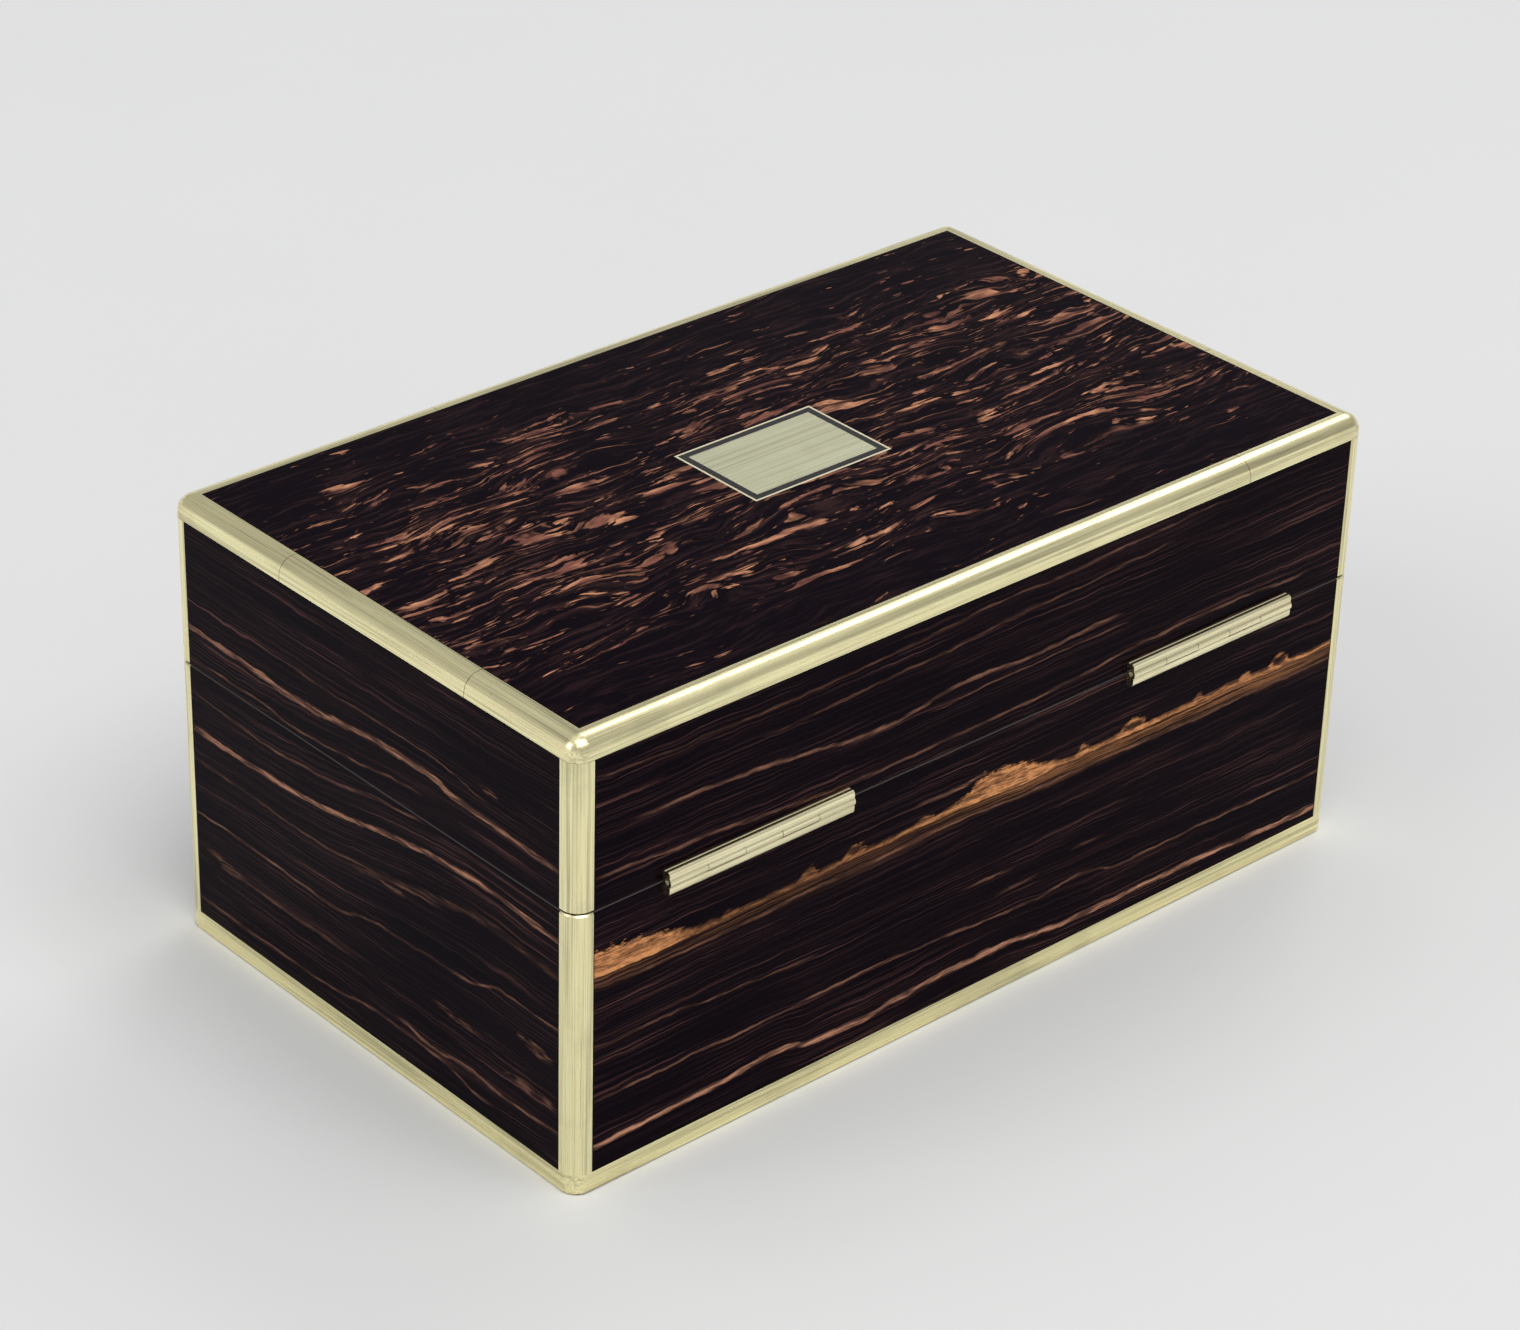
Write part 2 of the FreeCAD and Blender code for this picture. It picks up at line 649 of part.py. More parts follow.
def make_edging():
    """Brass strips round the foot and the top, mitred into the rounded corners."""
    for side in SIDES:
        label = f"bottom_strip_{side}"
        strip = body(label)
        plan = mitred_plan(side, BRASS, OUTSIDE, "Sizes.corner_round")
        pad(strip, "XY", "0", FOOT_TOP, plan, f"{label}_pad")
        soften(strip, "Chamfer", "Sizes.brass_arris", on_outer_chain("0"), f"{label}_arris")
        node(strip)
    for side in SIDES:
        label = f"top_strip_{side}"
        strip = body(label)
        plan = mitred_plan(side, BRASS, OUTSIDE, "Sizes.corner_round")
        pad(strip, "XY", LID_SHOULDER, TOP, plan, f"{label}_pad")
        soften(strip, "Fillet", "Sizes.edge_round", on_outer_chain(TOP), f"{label}_round")
        node(strip)


def make_corner_strips(part, bottom, top, seam):
    """Upright brass strips, one in each corner, eased where base and lid meet."""
    level = number(seam)
    edge = {axis: number(BRASS[axis]) for axis in "xy"}

    def at_seam(middle):
        outer = abs(middle.x) > edge["x"] + 1e-3 and abs(middle.y) > edge["y"] + 1e-3
        return near(middle.z, level) and outer

    for end in ("front", "back"):
        for side in ("left", "right"):
            label = f"{part}_corner_strip_{end}_{side}"
            way_x, way_y = SIDES[side][1], SIDES[end][1]
            bend_x, bend_y = inset("x", "corner_round"), inset("y", "corner_round")
            points = [(BRASS["x"], BRASS["y"]), (OUTSIDE["x"], BRASS["y"]), (OUTSIDE["x"], bend_y),
                      (bend_x, OUTSIDE["y"]), (BRASS["x"], OUTSIDE["y"])]
            points = [(f"{way_x} * ({x})", f"{way_y} * ({y})") for x, y in points]
            bend = (f"{way_x} * {bend_x}", f"{way_y} * {bend_y}", "Sizes.corner_round")
            strip = body(label)
            pad(strip, "XY", bottom, top, lambda sketch: outline(sketch, points, {2: bend}),
                f"{label}_pad")
            soften(strip, "Chamfer", "Sizes.brass_arris", at_seam, f"{label}_arris")
            node(strip)


def make_lip():
    """Thin boards round the inside of the rim, mitred, with their top edges bevelled."""
    top = f"{BASE_RIM} + Sizes.lip_rise"
    strips = []
    for side, (axis, _) in SIDES.items():
        label = f"lip_{side}"
        strip = body(label)
        pad(strip, "XY", LEDGE, top, mitred_plan(side, LIP, INNER), f"{label}_pad")
        faces = [number(plane[axis]) for plane in (LIP, INNER)]

        def on_top_edge(middle, axis=axis, faces=faces):
            across = abs(middle.y if axis == "y" else middle.x)
            return near(middle.z, number(top)) and any(near(across, face) for face in faces)

        soften(strip, "Chamfer", "Sizes.lip_bevel", on_top_edge, f"{label}_bevel")
        strips.append(strip)
    node(group("lip_strips", strips))


def make_well():
    """Velvet-covered boards and a pad that line the well under the tray."""
    half_lengths = {"y": INNER["x"], "x": WELL["y"]}
    linings = [side_block(f"lining_{side}", side, half_lengths[axis], WELL[axis], INNER[axis],
                          FOOT_TOP, LEDGE) for side, (axis, _) in SIDES.items()]
    node(group("well_linings", linings))
    room = {axis: f"({WELL[axis]} - Sizes.lining_fit)" for axis in "xy"}
    node(block("well_floor_pad", (minus(room["x"]), minus(room["y"]), FOOT_TOP),
               (room["x"], room["y"], f"{FOOT_TOP} + Sizes.floor_pad_thickness")))


def make_lid_pad():
    """The padded panel inside the top of the lid."""
    room = {axis: f"({LID_INNER[axis]} - Sizes.lining_fit)" for axis in "xy"}
    bottom = f"{LID_SHOULDER} - Sizes.lid_pad_thickness"
    cushion = body("lid_pad")
    pad(cushion, "XY", bottom, LID_SHOULDER,
        lambda sketch: plan_ring(sketch, room["x"], room["y"]), "lid_pad_pad")
    soften(cushion, "Fillet", "Sizes.lid_pad_round",
           lambda middle: near(middle.z, number(bottom)), "lid_pad_soft_edge")
    node(cushion)


BEAD_REACH = "((Sizes.barrel_radius + Sizes.lobe_clearance) * cos(Sizes.lobe_angle))"
BEAD_START = "((Sizes.barrel_radius + Sizes.lobe_clearance) * sin(Sizes.lobe_angle))"
BARREL_ROOM = "(Sizes.barrel_radius + Sizes.lobe_clearance)"


def leaf_profile(way, rim, bead_height, bead_round, quirk):
    """Draws a hinge leaf seen from its end: the flat plate in the rim, the knuckle and the bead
    against the back face. way is 1 for the lid's leaf, whose bead is above, -1 for the base's."""
    back = OUTSIDE["y"]
    axis_height = HINGE_Z
    rise = f"({rim} - {HINGE_Z})"
    reach = f"sqrt(Sizes.barrel_radius * Sizes.barrel_radius - {rise} * {rise})"

    def level(height):
        return f"{axis_height} + {way} * ({height})"

    def behind(distance):
        return f"{HINGE_Y} + {distance}"

    notch = ("Sizes.barrel_radius * cos(Sizes.lobe_angle)", "Sizes.barrel_radius * sin(Sizes.lobe_angle)")
    points = [
        (inset("y", "leaf_depth"), f"{rim} + {way} * Sizes.leaf_thickness"),
        (inset("y", "leaf_depth"), rim),
        (f"{HINGE_Y} - {reach}", rim),
        (behind("0"), level("-Sizes.barrel_radius")),
        (behind("Sizes.barrel_radius"), axis_height),
        (behind(notch[0]), level(notch[1])),
        (behind(BEAD_REACH), level(BEAD_START)),
        (behind(BEAD_REACH), level(f"{bead_height} - {bead_round}")),
        (behind(f"({BEAD_REACH} - {bead_round})"), level(bead_height)),
    ]
    if quirk:
        middle = f"({back} + {HINGE_Y}) / 2"
        points += [(f"{middle} + Sizes.quirk_width / 2", level(bead_height)),
                   (middle, level(f"{bead_height} - Sizes.quirk_depth")),
                   (f"{middle} - Sizes.quirk_width / 2", level(bead_height))]
    points += [(back, level(bead_height)), (back, f"{rim} + {way} * Sizes.leaf_thickness")]
    knuckle = (HINGE_Y, axis_height, "Sizes.barrel_radius")
    bead = (behind(f"({BEAD_REACH} - {bead_round})"), level(f"{bead_height} - {bead_round}"), bead_round)
    return lambda sketch: outline(sketch, points, {2: knuckle, 3: knuckle, 4: knuckle, 7: bead})


def knuckle_space(way):
    """Draws what a leaf leaves free for the other leaf's knuckle, outside the back face."""
    far = "3 * Sizes.barrel_radius"
    points = [
        (OUTSIDE["y"], f"{HINGE_Z} + {way} * {BARREL_ROOM}"),
        (HINGE_Y, f"{HINGE_Z} + {way} * {BARREL_ROOM}"),
        (f"{HINGE_Y} + {BEAD_REACH}", f"{HINGE_Z} + {way} * {BEAD_START}"),
        (f"{HINGE_Y} + {far}", f"{HINGE_Z} + {way} * {BEAD_START}"),
        (f"{HINGE_Y} + {far}", f"{HINGE_Z} - {way} * {far}"),
        (OUTSIDE["y"], f"{HINGE_Z} - {way} * {far}"),
    ]
    return lambda sketch: outline(sketch, points, {1: (HINGE_Y, HINGE_Z, BARREL_ROOM)})


def knuckle_ends(side, index):
    """Where a knuckle starts and stops along a hinge, with its end gaps."""
    pitch = f"Sizes.hinge_length / {KNUCKLE_COUNT}"
    start = f"{hinge_middle(side)} + ({index} - {KNUCKLE_COUNT} / 2) * {pitch}"
    return f"{start} - Sizes.knuckle_gap", f"{start} + {pitch} + Sizes.knuckle_gap"


def hinge_leaf(part, side, way, rim, profile, free_knuckles):
    label = f"hinge_{part}_leaf_{side}"
    leaf = body(label)
    start, stop = (f"{hinge_middle(side)} {sign} Sizes.hinge_length / 2" for sign in "-+")
    pad(leaf, "YZ", start, stop, profile, f"{label}_profile")
    for index in free_knuckles:
        low, high = knuckle_ends(side, index)
        pocket(leaf, "YZ", low, high, knuckle_space(way), f"{label}_space_{index}")
    bore = "Sizes.pin_radius + Sizes.pin_clearance"
    pocket(leaf, "YZ", start, stop, lambda sketch: circle(sketch, (HINGE_Y, HINGE_Z), bore),
           f"{label}_bore")
    spots = [spot for spot in leaf_screw_spots() if spot[0].startswith(hinge_middle(side))]
    countersunk_holes(leaf, rim, spots, way > 0, f"{label}_holes")
    return node(leaf)


def make_hinges():
    base_profile = leaf_profile(-1, BASE_RIM, "Sizes.lower_lobe_height", "Sizes.lower_lobe_round", False)
    lid_profile = leaf_profile(1, LID_RIM, "Sizes.upper_lobe_height", "Sizes.upper_lobe_round", True)
    for side in HINGE_SIDES:
        hinge_leaf("base", side, -1, BASE_RIM, base_profile, range(1, KNUCKLE_COUNT, 2))
        hinge_leaf("lid", side, 1, LID_RIM, lid_profile, range(0, KNUCKLE_COUNT, 2))
    pins = []
    for side in HINGE_SIDES:
        start = f"{hinge_middle(side)} - Sizes.hinge_length / 2 + Sizes.pin_inset"
        stop = f"{hinge_middle(side)} + Sizes.hinge_length / 2 - Sizes.pin_inset"
        pins.append(rod(f"hinge_pin_{side}", "x", start, stop, (HINGE_Y, HINGE_Z), "Sizes.pin_radius"))
    node(group("hinge_pins", pins))


def screw(label, spot, face, way):
    """A countersunk wood screw whose head is flush with a face. way is 1 if it points up."""
    head = "(Sizes.screw_head_radius - Sizes.screw_radius)"
    neck = f"{face} + {way} * {head}"
    shoulder = f"{face} + {way} * (Sizes.screw_length - 2 * Sizes.screw_radius)"
    tip = f"{face} + {way} * Sizes.screw_length"
    shank, wide, fine = "Sizes.screw_radius", "Sizes.screw_head_radius", "Sizes.screw_radius / 4"
    if way > 0:
        parts = [cone(f"{label}_head", face, neck, spot, wide, shank),
                 rod(f"{label}_shank", "z", neck, shoulder, spot, shank),
                 cone(f"{label}_tip", shoulder, tip, spot, shank, fine)]
    else:
        parts = [cone(f"{label}_head", neck, face, spot, shank, wide),
                 rod(f"{label}_shank", "z", shoulder, neck, spot, shank),
                 cone(f"{label}_tip", tip, shoulder, spot, fine, shank)]
    x, y = spot
    reach, half = "Sizes.screw_head_radius", "Sizes.screw_slot / 2"
    floor = f"{face} + {way} * Sizes.screw_slot"
    bottom, top = (face, floor) if way > 0 else (floor, face)
    slot = block(f"{label}_slot", (f"{x} - {reach}", f"{y} - {half}", bottom),
                 (f"{x} + {reach}", f"{y} + {half}", top))
    return cut(label, fuse(f"{label}_blank", parts), [slot])


def make_screws():
    spots = leaf_screw_spots() + rim_screw_spots()
    for part, face, way in (("base", BASE_RIM, -1), ("lid", LID_RIM, 1)):
        node(group(f"{part}_screws", [screw(f"{part}_screw_{index}", spot, face, way)
                                      for index, spot in enumerate(spots, 1)]))


def link_foot_start(way):
    """The open end of a link's foot; the shank is beyond it towards +X."""
    return f"({way} * Sizes.link_spacing / 2 + Sizes.link_room / 3)"


LINK_FRONT = f"({LOCK_MIDDLE} - Sizes.link_thickness / 2)"
LINK_BACK = f"({LOCK_MIDDLE} + Sizes.link_thickness / 2)"
LINK_WIDTH = "(Sizes.link_mouth + Sizes.link_shank)"
LINK_BOTTOM = f"({LID_RIM} - Sizes.link_depth)"


def rim_plate(owner, bottom, top, inner):
    pad(owner, "XY", bottom, top,
        lambda sketch: rectangle(sketch, (minus(RIM_PLATE_END), minus(CORE["y"])),
                                 (RIM_PLATE_END, minus(inner["y"]))),
        f"{owner.Label}_plate")


def stud_middle(way):
    return (f"({way} * Sizes.stud_spacing / 2 - Sizes.stud_radius)",
            f"({KEY_AXIS} + Sizes.talon_drop + Sizes.bolt_bar * 5 / 8)")


def make_lock_case():
    """The hollow case in the front wall with its plate on the rim, two studs and a drill pin."""
    case = body("lock_case")
    rim_plate(case, CASE_TOP, BASE_RIM, INNER)
    half = "Sizes.lock_width / 2"
    pad(case, "XY", LOCK_FOOT, CASE_TOP,
        lambda sketch: rectangle(sketch, (minus(half), LOCK_FRONT), (half, LOCK_BACK)), "lock_case_box")
    inside_front = f"({LOCK_FRONT} + Sizes.lock_wall)"
    inside_back = f"({LOCK_BACK} - Sizes.lock_wall)"
    room = f"({half} - Sizes.lock_wall)"
    pocket(case, "XZ", inside_front, inside_back,
           lambda sketch: rectangle(sketch, (minus(room), f"{LOCK_FOOT} + Sizes.lock_wall"),
                                    (room, CASE_TOP)), "lock_case_inside")

    def draw_slots(sketch):
        for way in (-1, 1):
            start = link_foot_start(way)
            rectangle(sketch, (f"{start} - Sizes.link_room", f"{LINK_FRONT} - Sizes.link_room"),
                      (f"{start} + {LINK_WIDTH} + Sizes.link_room", f"{LINK_BACK} + Sizes.link_room"))

    pocket(case, "XY", CASE_TOP, BASE_RIM, draw_slots, "lock_case_link_slots")
    pocket(case, "XZ", LOCK_FRONT, inside_front, keyhole("Sizes.key_clearance"), "lock_case_keyhole")
    for name, way in (("left", -1), ("right", 1)):
        pad(case, "XZ", inside_front, inside_back,
            lambda sketch, way=way: circle(sketch, stud_middle(way), "Sizes.stud_radius"),
            f"lock_case_stud_{name}")
    pad(case, "XZ", LOCK_FRONT, inside_back,
        lambda sketch: circle(sketch, ("0", KEY_AXIS), "Sizes.drill_pin_radius"),
        "lock_case_drill_pin")
    countersunk_holes(case, BASE_RIM, rim_screw_spots(), False, "lock_case_holes")
    node(case)


def make_link_plate():
    """The plate on the lid's rim with two hooked links that drop into the lock."""
    plate = body("lock_link_plate")
    top = f"{LID_RIM} + Sizes.rim_plate_thickness"
    rim_plate(plate, LID_RIM, top, LID_INNER)
    for name, way in (("left", -1), ("right", 1)):
        start = link_foot_start(way)
        shank, end = f"{start} + Sizes.link_mouth", f"{start} + {LINK_WIDTH}"
        foot_top = f"{LINK_BOTTOM} + Sizes.link_foot"
        points = [(start, LINK_BOTTOM), (end, LINK_BOTTOM), (end, LID_RIM), (shank, LID_RIM),
                  (shank, foot_top), (start, foot_top)]
        pad(plate, "XZ", LINK_FRONT, LINK_BACK, lambda sketch, points=points: outline(sketch, points),
            f"link_{name}")
    countersunk_holes(plate, LID_RIM, rim_screw_spots(), True, "lock_link_plate_holes")
    node(plate)


def make_bolt():
    """The sliding bolt, drawn back: two tongues above a bar with a talon for the key's bit."""
    bar_bottom = f"({KEY_AXIS} + Sizes.talon_drop)"
    bar_top = f"({bar_bottom} + Sizes.bolt_bar)"
    talon_top = f"({KEY_AXIS} + Sizes.bit_reach + Sizes.bolt_play)"
    talon_middle = "(-Sizes.bolt_throw / 2)"
    tongue_bottom = f"({LINK_BOTTOM} + Sizes.link_foot + Sizes.bolt_play)"
    tongue_top = f"({tongue_bottom} + Sizes.tongue_height)"

    def arm(way):
        """Left and right of an arm, and the tip of its tongue."""
        right = f"({link_foot_start(way)} - Sizes.bolt_throw - Sizes.bolt_play)"
        return f"({right} - Sizes.link_shank)", right, f"({link_foot_start(way)} - Sizes.bolt_play)"

    first_left, first_right, first_tip = arm(-1)
    second_left, second_right, second_tip = arm(1)
    bar_end = f"({stud_middle(1)[0]} + 3 * Sizes.stud_radius)"
    points = [
        (first_left, bar_bottom),
        (f"{talon_middle} - Sizes.talon_half_width", bar_bottom),
        (f"{talon_middle} - Sizes.talon_half_width", talon_top),
        (f"{talon_middle} + Sizes.talon_half_width", talon_top),
        (f"{talon_middle} + Sizes.talon_half_width", bar_bottom),
        (bar_end, bar_bottom),
        (bar_end, bar_top),
        (second_right, bar_top),
        (second_right, tongue_bottom),
        (second_tip, tongue_bottom),
        (second_tip, tongue_top),
        (second_left, tongue_top),
        (second_left, bar_top),
        (first_right, bar_top),
        (first_right, tongue_bottom),
        (first_tip, tongue_bottom),
        (first_tip, tongue_top),
        (first_left, tongue_top),
    ]

    def draw(sketch):
        outline(sketch, points)
        room = "(Sizes.stud_radius + Sizes.stud_clearance)"
        for way in (-1, 1):
            stud_x, stud_z = stud_middle(way)
            rectangle(sketch, (f"{stud_x} - Sizes.bolt_throw - {room}", f"{stud_z} - {room}"),
                      (f"{stud_x} + {room}", f"{stud_z} + {room}"))

    bolt = body("lock_bolt")
    pad(bolt, "XZ", LINK_FRONT, LINK_BACK, draw, "lock_bolt_pad")
    node(bolt)


def make_key():
    """The key on its own axis with its bit upright, then turned and set in the lock."""
    end = f"({LOCK_BACK} - Sizes.lock_wall - Sizes.lining_fit)"
    face = f"(-{OUTSIDE['y']} - Sizes.escutcheon_proud)"
    stem_end = f"({face} - Sizes.key_stem)"
    collar = f"({face} - Sizes.key_stem / 3)"
    axis = ("0", "0")
    shank = rod("key_shank", "y", stem_end, end, axis, "Sizes.key_radius")
    pipe_start = f"({LOCK_FRONT} - Sizes.bolt_play)"
    pipe = rod("key_pipe", "y", pipe_start, end, axis, "Sizes.drill_pin_radius + Sizes.key_clearance")
    hollow_shank = cut("key_hollow_shank", shank, [pipe])
    wide = "Sizes.key_radius * 1.4"
    beads = [rod(f"key_collar_{index}", "y", f"{place} - Sizes.bow_wire / 2",
                 f"{place} + Sizes.bow_wire / 2", axis, wide)
             for index, place in enumerate((collar, stem_end), 1)]
    bow = add("Part::Torus", "key_bow")
    bow.setExpression("Radius1", "Sizes.bow_radius")
    bow.setExpression("Radius2", "Sizes.bow_wire")
    lay(bow, "x", "0", (f"{stem_end} - Sizes.bow_radius", "0"))
    half = "Sizes.bit_thickness / 2"
    bit_back = f"({LOCK_MIDDLE} + Sizes.bit_width / 2)"
    bit_front = f"({LOCK_MIDDLE} - Sizes.bit_width / 2)"
    bit_foot = "(Sizes.drill_pin_radius + Sizes.key_radius) / 2"
    bit = block("key_bit", (minus(half), bit_front, bit_foot), (half, bit_back, "Sizes.bit_reach"))
    key = fuse("key", [hollow_shank, *beads, bow, bit])
    turn = FreeCAD.Rotation(FreeCAD.Vector(0, 1, 0), -number("Sizes.bit_angle"))
    key.Placement = FreeCAD.Placement(FreeCAD.Vector(), turn)
    key.setExpression(".Placement.Base.z", KEY_AXIS)
    node(key)


def make_escutcheon():
    plate = body("escutcheon")
    front = f"(-{OUTSIDE['y']} - Sizes.escutcheon_proud)"
    pad(plate, "XZ", front, minus(CORE["y"]),
        lambda sketch: circle(sketch, ("0", KEY_AXIS), "Sizes.escutcheon_radius"),
        "escutcheon_pad")
    soften(plate, "Chamfer", "Sizes.escutcheon_proud / 2",
           lambda middle: near(middle.y, number(front)), "escutcheon_arris")
    pocket(plate, "XZ", front, minus(CORE["y"]), keyhole("Sizes.keyhole_room"), "escutcheon_keyhole")
    node(plate)


TRAY = {axis: f"({LIP[axis]} - Sizes.tray_clearance)" for axis in "xy"}
TRAY_INNER = {axis: f"({TRAY[axis]} - Sizes.tray_wall)" for axis in "xy"}
TRAY_BOTTOM = f"({LEDGE} + Sizes.tray_seat)"
TRAY_FLOOR = f"({TRAY_BOTTOM} + Sizes.tray_floor)"
TRAY_TOP = f"({TRAY_BOTTOM} + Sizes.tray_height)"


def make_tray():
    node(block("tray_bottom", (minus(TRAY["x"]), minus(TRAY["y"]), TRAY_BOTTOM),
               (TRAY["x"], TRAY["y"], TRAY_FLOOR)))
    half_lengths = {"y": TRAY["x"], "x": TRAY_INNER["y"]}
    node(group("tray_walls", [
        side_block(f"tray_wall_{side}", side, half_lengths[axis], TRAY_INNER[axis], TRAY[axis],
                   TRAY_FLOOR, TRAY_TOP) for side, (axis, _) in SIDES.items()]))
    make_dividers()
    make_ring_rolls()
    make_lifting_tabs()


def make_dividers():
    """Two long dividers, and a cross that makes four small compartments on the right."""
    top = f"{TRAY_TOP} - Sizes.divider_drop"
    inner = "Sizes.middle_width / 2"
    outer = f"({inner} + Sizes.divider_thickness)"
    half = "Sizes.divider_thickness / 2"
    cross = f"(({outer} + {TRAY_INNER['x']}) / 2)"
    end = TRAY_INNER["y"]
    spans = {
        "left": ((minus(outer), minus(end)), (minus(inner), end)),
        "right": ((inner, minus(end)), (outer, end)),
        "cross": ((outer, minus(half)), (TRAY_INNER["x"], half)),
        "cross_front": ((f"{cross} - {half}", minus(end)), (f"{cross} + {half}", minus(half))),
        "cross_back": ((f"{cross} - {half}", half), (f"{cross} + {half}", end)),
    }
    node(group("tray_dividers", [block(f"divider_{name}", (*low, TRAY_FLOOR), (*high, top))
                                 for name, (low, high) in spans.items()]))


def make_ring_rolls():
    """Padded rolls side by side; a ring is held in the slit between two of them."""
    start = f"(-{TRAY_INNER['x']} + Sizes.tab_thickness + Sizes.roll_gap / 2)"
    stop = "(-Sizes.middle_width / 2 - Sizes.divider_thickness)"
    pitch = f"(({stop} - {start}) / {ROLL_COUNT})"
    radius = f"(({pitch} - Sizes.roll_gap) / 2)"
    height = f"{TRAY_FLOOR} + {radius} + Sizes.lining_fit / 3"
    half = f"({TRAY_INNER['y']} - Sizes.lining_fit)"
    node(group("ring_rolls", [
        rod(f"ring_roll_{index + 1}", "y", minus(half), half,
            (f"{start} + ({index} + 0.5) * {pitch}", height), radius)
        for index in range(ROLL_COUNT)]))


def make_lifting_tabs():
    half = "Sizes.tab_width / 2"
    low, high = f"{TRAY_TOP} - Sizes.tab_hold", f"{TRAY_TOP} + Sizes.tab_rise"
    inner = f"({TRAY_INNER['x']} - Sizes.tab_thickness)"
    node(group("tray_lift_tabs", [
        side_block(f"tray_lift_tab_{side}", side, half, inner, TRAY_INNER["x"], low, high)
        for side in ("left", "right")]))


def check_and_write():
    doc.recompute()
    for item in doc.Objects:
        if "Invalid" in item.State or "Error" in item.State:
            raise ValueError(f"{item.Label} did not build: {item.State}")
    for piece in nodes:
        if piece.Shape.isNull() or not piece.Shape.isValid() or not piece.Shape.Solids:
            raise ValueError(f"{piece.Label} has no valid solid")
    os.makedirs("parts", exist_ok=True)
    for piece in nodes:
        piece.Shape.exportStep(f"parts/{piece.Label}.step")
    print(len(nodes), "nodes,", sum(len(piece.Shape.Solids) for piece in nodes), "solids")


fill_sheet()
make_base_boards()
make_lid_boards()
make_side_veneers("base", FOOT_TOP, BASE_RIM, BASE_RIM)
make_side_veneers("lid", LID_RIM, LID_SHOULDER, LID_RIM)
make_top_inlay()
make_edging()
make_corner_strips("base", FOOT_TOP, BASE_RIM, BASE_RIM)
make_corner_strips("lid", LID_RIM, LID_SHOULDER, LID_RIM)
make_lip()
make_well()
make_lid_pad()
make_hinges()
make_screws()
make_lock_case()
make_link_plate()
make_bolt()
make_key()
make_escutcheon()
make_tray()
check_and_write()
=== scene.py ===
"""Dresses a brass-edged travel jewelry box: veneers, brasswork, inlay, woods, velvet, ribbon and baize."""

import json
import math
from collections import namedtuple

import bmesh
import bpy
from bpy.props import FloatProperty, FloatVectorProperty, PointerProperty
from mathutils import Matrix, Vector, noise


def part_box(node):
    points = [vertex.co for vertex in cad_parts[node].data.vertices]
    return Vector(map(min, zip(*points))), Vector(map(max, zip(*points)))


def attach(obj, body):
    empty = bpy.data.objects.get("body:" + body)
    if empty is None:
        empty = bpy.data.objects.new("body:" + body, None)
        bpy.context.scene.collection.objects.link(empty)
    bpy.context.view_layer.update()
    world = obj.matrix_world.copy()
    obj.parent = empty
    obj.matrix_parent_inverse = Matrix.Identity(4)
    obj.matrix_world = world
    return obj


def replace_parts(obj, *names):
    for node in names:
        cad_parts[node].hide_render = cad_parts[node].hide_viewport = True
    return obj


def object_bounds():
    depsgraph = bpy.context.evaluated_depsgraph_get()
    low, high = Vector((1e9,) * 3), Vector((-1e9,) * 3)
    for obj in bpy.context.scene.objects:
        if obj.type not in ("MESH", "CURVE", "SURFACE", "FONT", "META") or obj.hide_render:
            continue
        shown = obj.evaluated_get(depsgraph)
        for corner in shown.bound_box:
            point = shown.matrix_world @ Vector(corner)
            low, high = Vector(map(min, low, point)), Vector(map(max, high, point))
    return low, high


bl_info = {
    "name": "Travel Jewelry Box",
    "version": (1, 0, 0),
    "blender": (4, 5, 0),
    "location": "View3D > Sidebar > Jewelry Box",
    "description": "Finishes and soft goods for a brass-edged travel jewelry box",
    "category": "Object",
}

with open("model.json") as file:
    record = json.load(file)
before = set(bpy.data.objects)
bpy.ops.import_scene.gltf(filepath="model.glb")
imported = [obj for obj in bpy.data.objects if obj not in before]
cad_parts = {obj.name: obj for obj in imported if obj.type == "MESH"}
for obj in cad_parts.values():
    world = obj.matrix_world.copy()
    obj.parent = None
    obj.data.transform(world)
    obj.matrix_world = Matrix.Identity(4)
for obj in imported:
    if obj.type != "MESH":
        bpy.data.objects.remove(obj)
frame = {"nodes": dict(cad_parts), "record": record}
CAD_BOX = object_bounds()
NODES = frame["nodes"]
SLOT_COLOURS = {material["slot"]: material["base_color"] for material in frame["record"]["materials"]}
PER_MM = 1000.0
# Where two solids touch, the faces between them are found by themselves, at most this many.
LONE_FACES = 5
SIDES = ("front", "back", "left", "right")
CORNERS = [f"{end}_{side}" for end in ("front", "back") for side in ("left", "right")]

# A stripe of figure in a side veneer: its points are (along the grain, height), in millimetres.
Stripe = namedtuple("Stripe", "thickness brightness softness points")
# A patch of short lines: its centre along the grain, its height and its half sizes.
Flare = namedtuple("Flare", "along height half_length half_height brightness")
# A knot on the bright streak: its centre, half its length, its height and how dark its middle is.
Knot = namedtuple("Knot", "along half_length height hollow")

